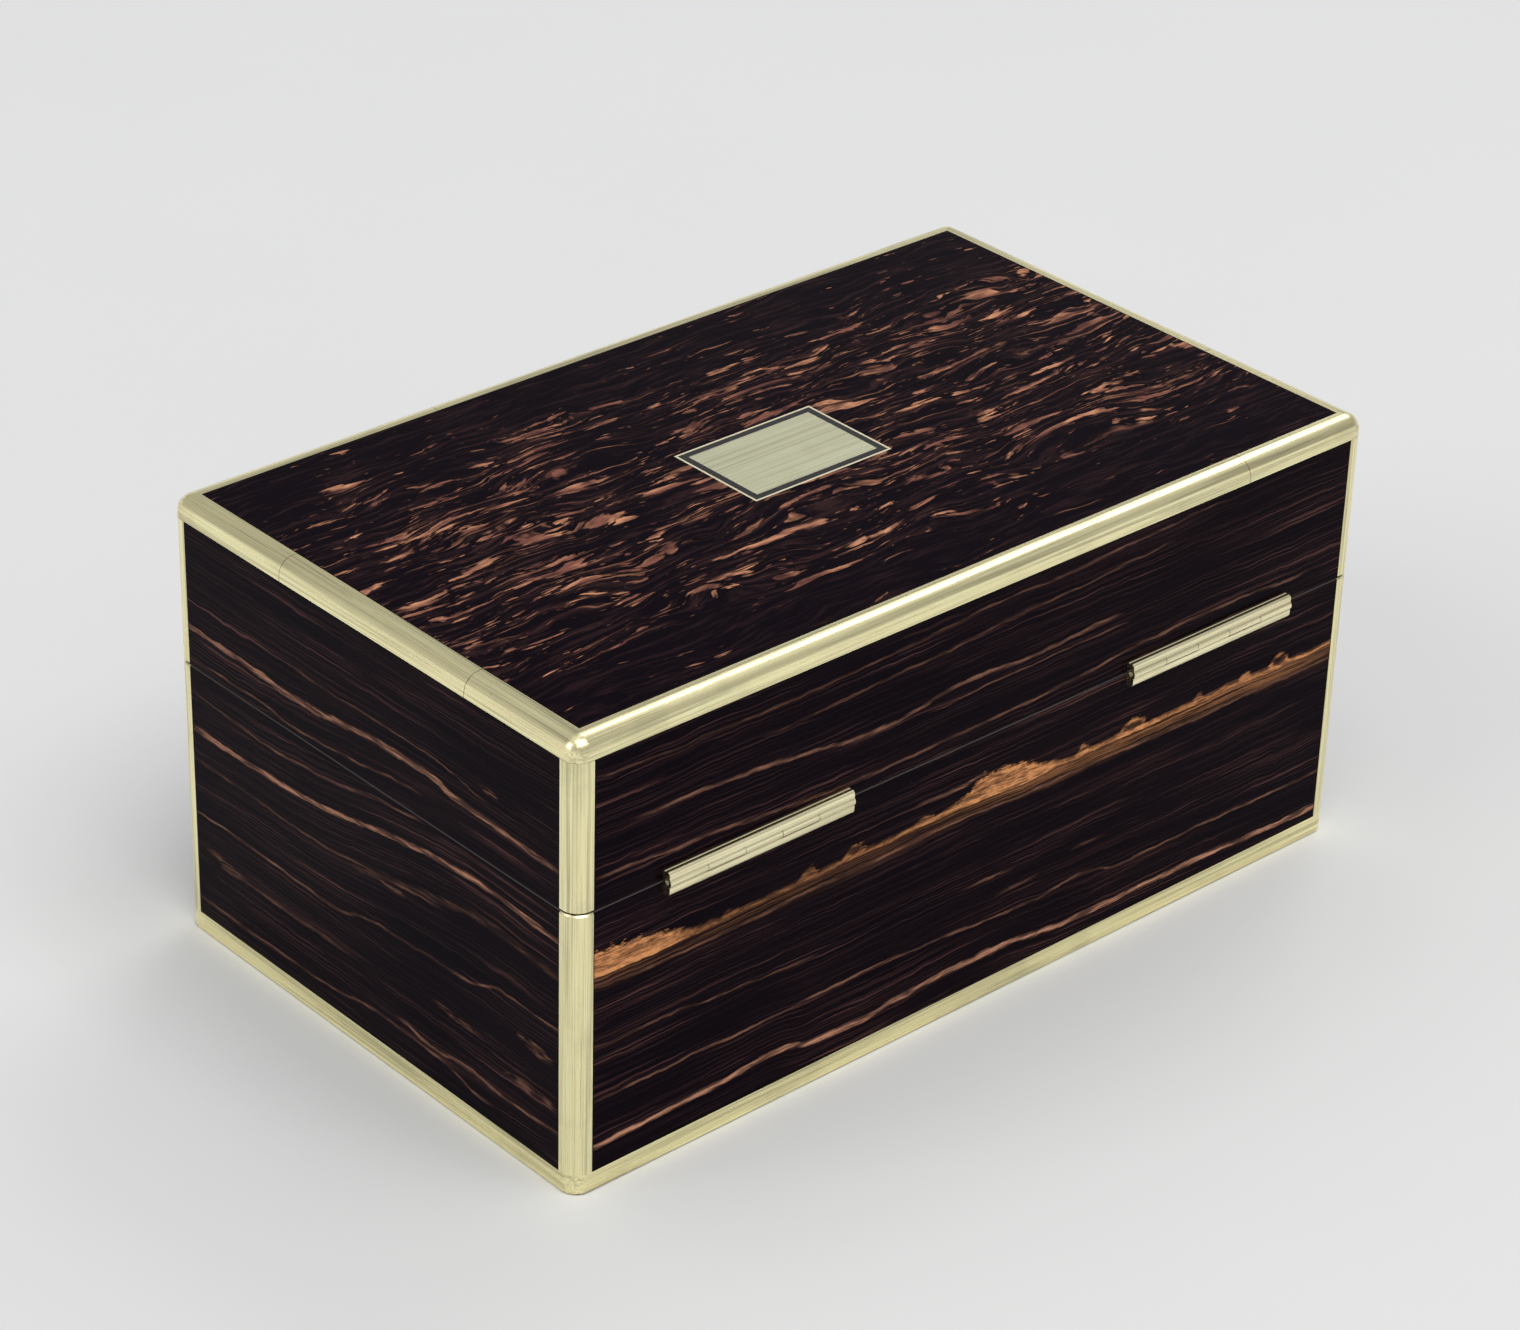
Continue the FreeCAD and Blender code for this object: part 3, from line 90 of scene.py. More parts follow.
LONG_STRIPES = (
    Stripe(0.7, 0.16, 0.6, ((-87, 135.5), (22, 132.5), (92, 130.5), (144, 132.5))),
    Stripe(0.8, 0.16, 0.6, ((-67, 129.5), (12, 125.5), (82, 122.5))),
    Stripe(1.0, 0.34, 0.5, ((-47, 112.1), (-20, 111.4), (10, 112.6), (30, 109.9), (44, 109.3), (62, 111.0),
                            (92, 113.6), (128, 114.7))),
    Stripe(0.6, 0.18, 0.5, ((-50, 108.6), (-10, 108.6), (20, 107.4))),
    Stripe(0.9, 0.24, 0.6, ((-127, 98.5), (-87, 99.5), (-27, 96.9), (34, 95.5), (92, 98.5), (142, 101.5))),
    Stripe(1.1, 0.55, 0.5, ((5, 78.4), (13, 77.4), (23, 77.8))),
    Stripe(0.6, 0.26, 0.5, ((118, 76.6), (111, 73.8), (96, 72.4), (80, 73.2), (71, 76.0))),
    Stripe(0.5, 0.20, 0.5, ((118, 74.8), (108, 71.9), (92, 70.9), (76, 71.6), (70, 73.4))),
    Stripe(0.8, 0.26, 0.6, ((-145, 63.6), (-70, 64.2), (-20, 65.2), (10, 66.0), (60, 66.4), (100, 65.6),
                            (146, 66.8))),
    Stripe(1.0, 0.24, 0.5, ((-9, 41.9), (4, 41.9))),
    Stripe(1.0, 0.22, 0.5, ((-18, 34.9), (-11, 34.9))),
    Stripe(1.1, 0.24, 0.5, ((-46, 37.6), (-42, 37.9))),
    Stripe(0.7, 0.24, 0.5, ((70, 43.6), (100, 44.8), (118, 46.9), (144, 47.2))),
    Stripe(0.8, 0.32, 0.6, ((-145, 23.5), (-57, 24.5), (-39, 27.5), (-27, 26.5), (40, 29.5), (144, 29.5))),
    Stripe(1.5, 0.86, 0.6, ((-145, 10.9), (-67, 12.1), (-27, 13.5), (-9, 15.5), (12, 15.5), (32, 14.9),
                            (52, 13.5), (66, 14.1), (82, 16.5), (102, 15.5), (145, 14.9))),
)
# The bright streak of the long sides: where its sharp lower line lies, how high its patches reach above
# that line, how bright they are and how bright the brown glow below is, each by place along the grain.
STREAK_LINE = ((-146, 68.4), (-100, 68.9), (-60, 69.2), (-20, 69.6), (40, 70.2), (90, 69.8), (120, 69.6),
               (146, 70.2))
STREAK_REACH = ((-146, 1.5), (-60, 1.8), (-36, 1.6), (-26, 3.0), (-16, 6.4), (-6, 8.4), (0, 8.2), (7, 4.6),
                (15, 2.4), (28, 1.7), (90, 1.4), (106, 1.8), (114, 3.2), (122, 5.4), (131, 7.2), (146, 8.4))
STREAK_POWER = ((-146, 0.66), (-124, 0.72), (-95, 0.56), (-60, 0.76), (-38, 0.64), (-20, 0.95), (0, 1.0),
                (9, 0.62), (50, 0.42), (90, 0.28), (112, 0.42), (124, 0.95), (146, 1.0))
STREAK_GLOW = ((-146, 0.44), (-60, 0.46), (-20, 0.34), (20, 0.20), (90, 0.12), (146, 0.20))
KNOTS = (
    Knot(-59.5, 11.0, 5.0, 1.0), Knot(-122.5, 7.6, 5.4, 1.0), Knot(-107.5, 6.0, 3.4, 0.0),
    Knot(-87.5, 5.0, 3.6, 0.0), Knot(-38.5, 5.0, 4.2, 0.0), Knot(24.5, 9.0, 3.2, 0.4),
    Knot(51.5, 6.4, 5.2, 0.9), Knot(68.5, 6.4, 4.2, 0.3), Knot(98.0, 7.0, 2.6, 0.0),
)
# How the grain of a side swings up and down along its run, the height where it swings most, and how far
# above and below that the swing is felt.
LONG_FLOW = (((-145, -2.6), (-67, -1.6), (-27, 0), (-9, 1.6), (12, 1.6), (40, 0.4), (66, 0.2), (82, 2.4),
              (102, 1.6), (145, 1.4)), 14, 40)
END_FLOW = (((-83, -4.6), (-50, -4.2), (-24, -2.4), (0, 1.6), (29, 6.2), (53, 7.4), (84, 6.0)), 78, 48)
END_STRIPES = (
    Stripe(1.5, 0.58, 0.5, ((-83, 104.5), (-50, 103.9), (-34, 102.9), (-10, 104.9), (23, 106.5),
                            (39, 104.9), (73, 103.5), (84, 102.5))),
    Stripe(0.6, 0.16, 0.5, ((-30, 112.5), (21, 112.9), (49, 110.1))),
    Stripe(0.7, 0.19, 0.6, ((-83, 93.5), (-54, 94.9), (-36, 93.3), (-6, 95.5), (20, 99.0))),
    Stripe(0.7, 0.18, 0.6, ((-83, 82.5), (-50, 81.3), (-20, 83.5), (0, 87.5), (21, 90.1))),
    Stripe(1.6, 0.58, 0.5, ((-83, 70.5), (-50, 70.9), (-24, 72.9), (0, 76.9), (29, 81.5), (53, 82.9),
                            (84, 81.3))),
    Stripe(2.0, 0.12, 0.9, ((-4, 60.5), (21, 66.0), (41, 70.0), (57, 71.5), (81, 68.9))),
    Stripe(0.7, 0.20, 0.5, ((-83, 60.5), (-30, 60.1), (-6, 62.1), (30, 66.0))),
    Stripe(0.8, 0.24, 0.6, ((-83, 42.1), (-24, 41.7), (5, 46.5), (45, 48.5), (65, 52.9), (84, 52.1))),
    Stripe(1.2, 0.14, 0.9, ((-62, 29.1), (-35, 28.6), (-10, 29.5))),
    Stripe(1.0, 0.36, 0.6, ((17, 19.5), (30, 17.8), (42, 19.2), (59, 17.8), (84, 18.5))),
    Stripe(0.9, 0.24, 0.6, ((-84, 12.1), (-20, 12.9), (9, 16.5), (50, 12.0))),
)
END_FLARES = (
    Flare(54, 113.9, 4.0, 1.2, 0.30), Flare(74, 41.5, 7.0, 2.4, 0.34), Flare(72, 26.5, 11.0, 1.8, 0.30),
    Flare(-70, 29.5, 9.0, 2.0, 0.22), Flare(40, 33.0, 11.0, 1.6, 0.18), Flare(8, 62.0, 9.0, 1.4, 0.20),
)
# Nested arcs in the top veneer: where the burr has its eyes, in millimetres.
TOP_EYES = ((91, -18), (50, -38), (-20, -27), (-66, -26), (-80, 41), (15, 22), (110, 26), (-105, -50),
            (60, 45), (-20, 52))
GLUE_COLOUR = (0.004, 0.003, 0.002)
BRASS_JOINT_COLOUR = (0.05, 0.04, 0.02)
RIM_STAINS = (0.030, 0.012, 0.008), (0.075, 0.030, 0.018)
# How bright the room shows in a mirror: (sine of the angle above the horizon, brightness).
ROOM_LEVELS = ((0.0, 0.86), (0.15, 0.82), (0.30, 0.46), (0.62, 0.38), (0.80, 0.60), (1.0, 0.82))
# The lamps point here. They stand far off, so that the floor is lit evenly a long way round the box.
LAMP_AIM = (0, 0, 0.08)
FLOOR_HALF_SIZE = 12.0


class FinishSettings(bpy.types.PropertyGroup):
    """Colours and surface sizes of the woods and metals."""

    veneer_ground: FloatVectorProperty(
        name="Veneer ground", description="Near-black heart of the veneer", subtype="COLOR",
        size=3, min=0, max=1, default=(0.0030, 0.0010, 0.0034))
    veneer_line: FloatVectorProperty(
        name="Veneer line", description="Red-brown of the fine grain lines", subtype="COLOR",
        size=3, min=0, max=1, default=(0.135, 0.058, 0.052))
    # Painted highlight: a pale grey line along the seam of lid and base, standing for light caught on the
    # polished rounded arris.
    seam_highlight: FloatVectorProperty(
        name="Bare edge", description="Worn wood along the seam, where the polish has gone", subtype="COLOR",
        size=3, min=0, max=1, default=(0.20, 0.18, 0.165))
    veneer_stripe: FloatVectorProperty(
        name="Veneer stripe", description="Pinkish tan of the bright stripes", subtype="COLOR",
        size=3, min=0, max=1, default=(0.60, 0.290, 0.180))
    veneer_streak: FloatVectorProperty(
        name="Veneer streak", description="Orange of the streak under the hinges", subtype="COLOR",
        size=3, min=0, max=1, default=(0.74, 0.320, 0.125))
    burr_tan: FloatVectorProperty(
        name="Burr tan", description="Tan of the brightest dashes in the top veneer", subtype="COLOR",
        size=3, min=0, max=1, default=(0.62, 0.285, 0.155))
    burr_red: FloatVectorProperty(
        name="Burr red", description="Red-brown of the dimmer dashes in the top veneer", subtype="COLOR",
        size=3, min=0, max=1, default=(0.210, 0.082, 0.058))
    polish_roughness: FloatProperty(
        name="Polish roughness", description="How dull the shellac polish is", min=0, max=1, default=0.07)
    polish_depth: FloatProperty(
        name="Polish waviness", description="Height of the slow waves in the polish", min=0,
        unit="LENGTH", subtype="DISTANCE", default=0.00004)
    glue_line: FloatProperty(
        name="Glue line", description="Width of the dark line between veneer and brass", min=0,
        unit="LENGTH", subtype="DISTANCE", default=0.0004)
    brass: FloatVectorProperty(
        name="Edging brass", description="Pale brass of the edging", subtype="COLOR",
        size=3, min=0, max=1, default=(0.95, 0.86, 0.50))
    # Tarnish colour: real tarnish in clouds and spots; on the rubbed brass parts it also paints dark
    # reflection in lengthwise bands.
    brass_shade: FloatVectorProperty(
        name="Brass tarnish", description="Duller brass in the rubbing marks and corners", subtype="COLOR",
        size=3, min=0, max=1, default=(0.42, 0.385, 0.235))
    plate_brass: FloatVectorProperty(
        name="Plate brass", description="Paler and greyer brass of the plate in the lid", subtype="COLOR",
        size=3, min=0, max=1, default=(0.78, 0.78, 0.54))
    hinge_brass: FloatVectorProperty(
        name="Hinge brass", description="Warmer drawn brass of the hinges and the lock", subtype="COLOR",
        size=3, min=0, max=1, default=(0.96, 0.87, 0.56))
    steel: FloatVectorProperty(
        name="Steel", description="Worn steel of the key and the pins", subtype="COLOR",
        size=3, min=0, max=1, default=(0.56, 0.54, 0.50))
    rubbing_gap: FloatProperty(
        name="Rubbing marks", description="Distance between the polishing streaks on brass", min=0.00005,
        unit="LENGTH", subtype="DISTANCE", default=0.0004)


class LiningSettings(bpy.types.PropertyGroup):
    """Colours and sizes of the velvet, ribbon and baize."""

    velvet: FloatVectorProperty(
        name="Velvet", description="Blue of the velvet linings", subtype="COLOR",
        size=3, min=0, max=1, default=SLOT_COLOURS["velvet"])
    ribbon: FloatVectorProperty(
        name="Ribbon", description="Blue of the silk lifting tabs", subtype="COLOR",
        size=3, min=0, max=1, default=SLOT_COLOURS["tab_ribbon"])
    baize: FloatVectorProperty(
        name="Baize", description="Green of the baize under the box", subtype="COLOR",
        size=3, min=0, max=1, default=SLOT_COLOURS["baize"])
    board_round: FloatProperty(
        name="Board rounding", description="Radius of the edges of velvet-covered board", min=0.0002,
        unit="LENGTH", subtype="DISTANCE", default=0.001)
    button_gap: FloatProperty(
        name="Button spacing", description="Distance between the buttons of the lid pad along a row",
        min=0.02, unit="LENGTH", subtype="DISTANCE", default=0.048)
    button_radius: FloatProperty(
        name="Button radius", description="Radius of the covered buttons", min=0.001,
        unit="LENGTH", subtype="DISTANCE", default=0.0036)
    pad_swell: FloatProperty(
        name="Lid pad swell", description="How far the lid pad's stuffing may push its cover out", min=0,
        unit="LENGTH", subtype="DISTANCE", default=0.006)
    roll_swell: FloatProperty(
        name="Ring roll swell", description="How far a ring roll's stuffing may push its cover out", min=0,
        unit="LENGTH", subtype="DISTANCE", default=0.0006)


class StudioSettings(bpy.types.PropertyGroup):
    """The camera, the lamps and the floor."""

    camera_place: FloatVectorProperty(
        name="Camera place", description="Where the camera stands", size=3,
        unit="LENGTH", subtype="TRANSLATION", default=(0.7773, 0.8451, 0.7296))
    camera_aim: FloatVectorProperty(
        name="Camera aim", description="The point at the middle of the picture", size=3,
        unit="LENGTH", subtype="TRANSLATION", default=(0.0023, -0.0048, 0.0721))
    camera_roll: FloatProperty(
        name="Camera roll", description="Turn of the camera about its line of sight",
        unit="ROTATION", subtype="ANGLE", default=math.radians(1.64))
    camera_lens: FloatProperty(
        name="Camera lens", description="Focal length in millimetres on a 36 mm sensor",
        subtype="DISTANCE_CAMERA", min=1, default=104.99)
    floor_colour: FloatVectorProperty(
        name="Floor", description="Colour of the pale floor", subtype="COLOR",
        size=3, min=0, max=1, default=(0.74, 0.74, 0.73))
    key_power: FloatProperty(
        name="Key lamp", description="Power of the large lamp above the hinge side, in watts", min=0,
        subtype="POWER", default=288.0)
    fill_power: FloatProperty(
        name="Fill lamp", description="Power of the wide lamp at the end of the box, in watts", min=0,
        subtype="POWER", default=90.0)
    world_strength: FloatProperty(
        name="Room light", description="Brightness of the light that the room sheds", min=0, default=0.42)


class Value:
    """A number on a shader socket: Python's operators on it add Math nodes."""

    def __init__(self, paint, socket):
        self.paint, self.socket = paint, socket

    def _with(self, operation, *operands):
        return self.paint.node("ShaderNodeMath", {"operation": operation}, dict(enumerate(operands)))

    def __add__(self, other):
        return self._with("ADD", self, other)

    def __radd__(self, other):
        return self._with("ADD", other, self)

    def __sub__(self, other):
        return self._with("SUBTRACT", self, other)

    def __rsub__(self, other):
        return self._with("SUBTRACT", other, self)

    def __mul__(self, other):
        return self._with("MULTIPLY", self, other)

    def __rmul__(self, other):
        return self._with("MULTIPLY", other, self)

    def __truediv__(self, other):
        return self._with("DIVIDE", self, other)

    def __pow__(self, other):
        return self._with("POWER", self, other)

    def __abs__(self):
        return self._with("ABSOLUTE", self)

    def least(self, other):
        return self._with("MINIMUM", self, other)

    def most(self, other):
        return self._with("MAXIMUM", self, other)

    def bounce(self, size):
        """Runs up and down between 0 and size, which turns a smooth field into rings."""
        return self._with("PINGPONG", self, size)

    def rise(self, low, high):
        """0 below low, 1 above high and smooth between."""
        return self.paint.node("ShaderNodeMapRange", {"interpolation_type": "SMOOTHSTEP"},
                               {"Value": self, "From Min": low, "From Max": high})


class Paint:
    """One material while it is made. Its x, y and z are the place on the object, in millimetres."""

    def __init__(self, name, **constants):
        self.material = bpy.data.materials.new(name)
        self.material.use_nodes = True
        self.tree = self.material.node_tree
        self.shader = self.tree.nodes["Principled BSDF"]
        for socket, value in constants.items():
            self._fill(self.shader.inputs[socket.replace("_", " ").title().replace("Ior", "IOR")], value)
        place = self.node("ShaderNodeTexCoord", output="Object")
        scaled = self.node("ShaderNodeVectorMath", {"operation": "SCALE"}, {"Vector": place, "Scale": PER_MM})
        split = self.node("ShaderNodeSeparateXYZ", inputs={0: scaled})
        self.x, self.y, self.z = (Value(self, output) for output in split.socket.node.outputs)

    def _fill(self, socket, value):
        if isinstance(value, Value):
            self.tree.links.new(value.socket, socket)
        elif socket.type == "RGBA":
            socket.default_value = (*tuple(value)[:3], 1.0)
        else:
            socket.default_value = value

    def node(self, kind, settings=None, inputs=None, output=0):
        """Adds a node: its settings first, then its sockets. Returns one of its outputs."""
        made = self.tree.nodes.new(kind)
        for name, value in (settings or {}).items():
            if name == "curve":
                self._draw(made.mapping, value)
            else:
                setattr(made, name, value)
        for socket, value in (inputs or {}).items():
            self._fill(made.inputs[socket], value)
        return Value(self, made.outputs[output])

    @staticmethod
    def _draw(mapping, points):
        mapping.extend = "HORIZONTAL"
        line = mapping.curves[0]
        for _ in points[2:]:
            line.points.new(0.5, 0.5)
        for spot, point in zip(line.points, points):
            spot.location = point
            spot.handle_type = "AUTO_CLAMPED"
        mapping.update()

    def feed(self, **sockets):
        """Joins what changes over the surface to the shader."""
        for socket, value in sockets.items():
            self._fill(self.shader.inputs[socket.replace("_", " ").title()], value)
        return self.material

    def vector(self, x, y, z):
        return self.node("ShaderNodeCombineXYZ", inputs={0: x, 1: y, 2: z})

    def noise(self, x, y, z, detail=2.0, roughness=0.5, distortion=0.0):
        """Noise with features about one unit across in each of the three given numbers."""
        return self.node("ShaderNodeTexNoise", {"normalize": True},
                         {"Vector": self.vector(x, y, z), "Scale": 1.0, "Detail": detail,
                          "Roughness": roughness, "Distortion": distortion})

    def mix(self, share, first, second):
        """A colour between two, by a share."""
        return self.node("ShaderNodeMix", {"data_type": "RGBA"}, {0: share, 6: first, 7: second}, output=2)

    def curve(self, value, points):
        """A smooth line through points, read at value. Points and value are in the same units."""
        starts, heights = zip(*points)
        span, drop = starts[-1] - starts[0], (max(heights) - min(heights)) or 1.0
        drawn = [((a - starts[0]) / span, (h - min(heights)) / drop) for a, h in points]
        looked_up = self.node("ShaderNodeFloatCurve", {"curve": drawn},
                              {"Factor": 1.0, "Value": (value - starts[0]) / span})
        return looked_up * drop + min(heights)

    def bump(self, height, distance):
        return self.node("ShaderNodeBump", inputs={"Height": height, "Distance": distance})


def dress(names, material):
    """Gives CAD nodes a finish in their own material slots."""
    for name in names:
        slots = NODES[name].material_slots
        if not slots:
            raise RuntimeError(f"{name} has no material slot")
        for slot in slots:
            slot.material = material


def stripe_strength(paint, run, height, stripe, swell, ragged):
    """How strongly one stripe of figure shows at a place. Its edge is split into fibres."""
    first, last = stripe.points[0][0], stripe.points[-1][0]
    distance = abs(height - paint.curve(run, stripe.points)) / (swell * (stripe.thickness / 2)) + ragged
    core = 1.0 - distance.rise(1.0 - stripe.softness, 1.0 + stripe.softness)
    ends = run.rise(first - 7, first + 5) * (1.0 - run.rise(last - 5, last + 7))
    return core * ends * stripe.brightness


def flare_strength(paint, run, height, flare):
    """How strongly a flare shows: short flame-like lines within an oval."""
    sideways = (run - flare.along + 1.4 * (height - flare.height)) / flare.half_length
    upward = (height - flare.height) / flare.half_height
    flames = paint.noise(run / 6, height * 1.3 + 0.9 * sideways * sideways, flare.along,
                         detail=4, roughness=0.62)
    within = 1.0 - (sideways * sideways + upward * upward).rise(0.15, 1.3)
    return within * flames.rise(0.42, 0.56) * flare.brightness


def edge_shade(paint, first, first_range, second, second_range, width):
    """1 inside a sheet, 0 in the dark line of glue along its edges."""
    nearest = None
    for place, (low, high) in ((first, first_range), (second, second_range)):
        for gap in (place - low, high - place):
            nearest = gap if nearest is None else nearest.least(gap)
    return nearest.rise(width * 0.5, width)


def side_veneer(name, grain_axis, mirrored, stripes, flow, flares, bright_streak, seed, low, high, seam):
    """Coromandel from one log: near-black with red-brown lines along the grain and placed stripes."""
    s = bpy.context.scene.box_finishes
    paint = Paint(name, specular_ior_level=0.022)
    along = paint.x if grain_axis == "x" else paint.y
    run = along * -1.0 if mirrored else along
    wander = paint.noise(run / 38, paint.z / 24, seed, detail=2) - 0.5
    quiver = paint.noise(run / 8, paint.z / 8, seed + 1, detail=3) - 0.5
    height = paint.z + 2.6 * wander + 1.5 * quiver
    swing, centre, reach = flow
    level = height - paint.curve(run, swing) * (1.0 - abs(paint.z - centre).rise(0.0, reach))
    hairs = paint.noise(run / 80, level * 1.9, seed + 2, detail=4, roughness=0.7).rise(0.48, 0.64)
    threads = paint.noise(run / 90, level * 0.9, seed + 4, detail=5, roughness=0.62).rise(0.580, 0.635)
    shown = paint.noise(run / 90, level / 8, seed + 6, detail=3)
    fine = 0.26 * hairs * (0.25 + 0.75 * shown.rise(0.36, 0.62))
    lines = (fine + 0.52 * threads * shown.rise(0.40, 0.60)).least(1.0)
    swell = 0.30 + 1.5 * paint.noise(run / 10, height / 5, seed + 8, detail=3)
    ragged = 2.0 * (paint.noise(run / 16, level * 1.8, seed + 14, detail=4, roughness=0.65) - 0.5)
    bright = None
    for stripe in stripes:
        strength = stripe_strength(paint, run, height, stripe, swell, ragged)
        bright = strength if bright is None else bright.most(strength)
    for flare in flares:
        bright = bright.most(flare_strength(paint, run, height, flare))
    breaks = 0.22 + 0.95 * paint.noise(run / 13, height / 1.6, seed + 12, detail=3).rise(0.38, 0.62)
    fibre = paint.noise(run / 28, level * 2.4, seed + 9, detail=5, roughness=0.7)
    fibre = 0.34 + 0.86 * fibre.rise(0.36, 0.60)
    pores = 1.0 - 0.5 * paint.noise(run / 3.2, paint.z * 5.0, seed + 10, detail=1).rise(0.58, 0.68)
    wood = paint.mix(lines, s.veneer_ground, s.veneer_line)
    wood = paint.mix((bright * breaks * fibre * pores).least(1.0), wood, s.veneer_stripe)
    if bright_streak:
        wood = paint.mix((main_streak(paint, run, height, seed) * pores).least(1.0), wood, s.veneer_streak)
    pick = 0 if grain_axis == "x" else 1
    inside = edge_shade(paint, along, (low[pick] * PER_MM, high[pick] * PER_MM),
                        paint.z, (low.z * PER_MM, high.z * PER_MM), s.glue_line * PER_MM)
    wood = paint.mix(inside, GLUE_COLOUR, wood)
    # Painted highlight along the seam, where light would catch the rounded arris.
    arris_highlight = 1.0 - abs(paint.z - seam).rise(0.22, 0.48)
    wood = paint.mix(0.5 * arris_highlight, wood, s.seam_highlight)
    roughness = s.polish_roughness + 0.07 * paint.noise(along / 16, paint.z / 16, seed, detail=4)
    waves = paint.noise(along / 26, paint.z / 14, seed + 20, detail=2)
    return paint.feed(base_color=wood, roughness=roughness, normal=paint.bump(waves, s.polish_depth))


def main_streak(paint, run, height, seed):
    """The bright streak under the hinges: a sharp line, patches and arched knots on it, a glow below."""
    up = height - paint.curve(run, STREAK_LINE)
    ragged = paint.noise(run / 4.4, up / 1.5, seed + 33, detail=5, roughness=0.66) - 0.5
    place = run + 8.0 * ragged
    arch, hollow = None, None
    for knot in KNOTS:
        bell = 1.0 - abs(place - knot.along).rise(0.0, knot.half_length)
        arch = bell * knot.height if arch is None else arch.most(bell * knot.height)
        if knot.hollow:
            sideways = (place - knot.along) / (knot.half_length * 0.40)
            upward = (up / knot.height - 0.50) / 0.30
            middle = knot.hollow * (1.0 - (sideways * sideways + upward * upward).rise(0.3, 1.4))
            hollow = middle if hollow is None else hollow.most(middle)
    top = paint.curve(run, STREAK_REACH).most(arch) * (1.0 + 1.3 * ragged)
    body = up.rise(-0.45, 0.15) * (1.0 - up.rise(top - 1.5, top + 0.4))
    grain = paint.noise(run / 13, up * 1.2, seed + 31, detail=5, roughness=0.66).rise(0.38, 0.58)
    mottle = paint.noise(run / 6.5, up / 1.5, seed + 37, detail=5, roughness=0.7).rise(0.42, 0.63)
    rim = 0.66 + 0.40 * up.rise(top - 2.2, top - 1.0).most(1.0 - up.rise(0.8, 2.2))
    streak = 1.15 * body * (0.16 + 0.52 * grain + 0.80 * mottle) * rim * (1.0 - 0.85 * hollow)
    depth = 2.0 + 9.0 * paint.noise(run / 32, seed, 0.5, detail=3)
    strata = paint.noise(run / 45, up * 1.5, seed + 39, detail=4, roughness=0.6).rise(0.44, 0.60)
    glow = (up / depth + 1.0).rise(0.0, 1.0) * (1.0 - up.rise(-0.5, 0.1)) * (0.12 + 1.0 * strata)
    return (streak * paint.curve(run, STREAK_POWER)).most(glow * paint.curve(run, STREAK_GLOW))


def top_veneer(low, high):
    """Burr coromandel: flakes and dashes of tan in gentle swirls on a near-black ground."""
    s = bpy.context.scene.box_finishes
    paint = Paint("top_veneer_polished", specular_ior_level=0.020)
    swirl = paint.noise(paint.x / 46, paint.y / 21, 5.0, detail=2) - 0.5
    curl = paint.noise(paint.x / 15, paint.y / 9, 12.0, detail=2) - 0.5
    across = paint.y + 13.0 * swirl + 3.4 * curl
    along = paint.x + 20.0 * (paint.noise(paint.x / 36, paint.y / 20, 9.0, detail=1) - 0.5)
    for eye_x, eye_y in TOP_EYES:
        sideways, upward = (paint.x - eye_x) / 26, (paint.y - eye_y) / 11
        across = across + 4.0 * (1.0 - (sideways * sideways + upward * upward).rise(0.0, 1.6))
    busy = paint.curve(paint.y, ((-86, -0.05), (-66, -0.03), (-48, 0.02), (-20, 0.03), (30, 0.03), (52, 0.0),
                                 (68, -0.05), (86, -0.06)))
    clouds = paint.noise(paint.x / 40, paint.y / 16, 33.0, detail=2)
    plenty = busy + 0.24 * (clouds - 0.5)
    fray = 0.10 * (paint.noise(along / 2.6, across / 0.9, 55.0, detail=3, roughness=0.6) - 0.5)
    flakes = (paint.noise(along / 26, across / 4.6, 21.0, detail=3) + plenty + fray).rise(0.622, 0.668)
    dashes = (paint.noise(along / 14, across / 2.1, 25.0, detail=3) + plenty + fray).rise(0.640, 0.685)
    slivers = (paint.noise(along / 6.5, across / 1.0, 29.0, detail=2) + plenty).rise(0.67, 0.73)
    streams = paint.noise(along / 70, across / 1.6, 35.0, detail=4, roughness=0.6)
    streams = (streams + 0.8 * plenty).rise(0.630, 0.680)
    strands = paint.noise(along / 14, across * 1.3, 51.0, detail=4, roughness=0.7).rise(0.32, 0.56)
    lit = paint.noise(paint.x / 12, paint.y / 5, 97.0, detail=3).rise(0.36, 0.62)
    bright = flakes.most(0.9 * dashes).most(0.5 * slivers).most(0.5 * streams)
    bright = bright * (0.40 + 0.60 * strands) * (0.46 + 0.80 * lit)
    glow = paint.noise(along / 15, across / 4.0, 91.0, detail=3).rise(0.42, 0.66)
    haze = paint.noise(along / 24, across / 1.9, 61.0, detail=5, roughness=0.66).rise(0.46, 0.70)
    wood = paint.mix(haze * (0.20 + 1.2 * plenty), s.veneer_ground, s.veneer_line)
    wood = paint.mix(bright.least(1.0), wood, paint.mix(glow, s.burr_red, s.burr_tan))
    inside = edge_shade(paint, paint.x, (low.x * PER_MM, high.x * PER_MM),
                        paint.y, (low.y * PER_MM, high.y * PER_MM), s.glue_line * PER_MM)
    wood = paint.mix(inside, GLUE_COLOUR, wood)
    roughness = s.polish_roughness + 0.06 * paint.noise(paint.x / 18, paint.y / 18, 71.0, detail=4)
    waves = paint.noise(paint.x / 30, paint.y / 22, 81.0, detail=2)
    return paint.feed(base_color=wood, roughness=roughness, normal=paint.bump(waves, s.polish_depth))


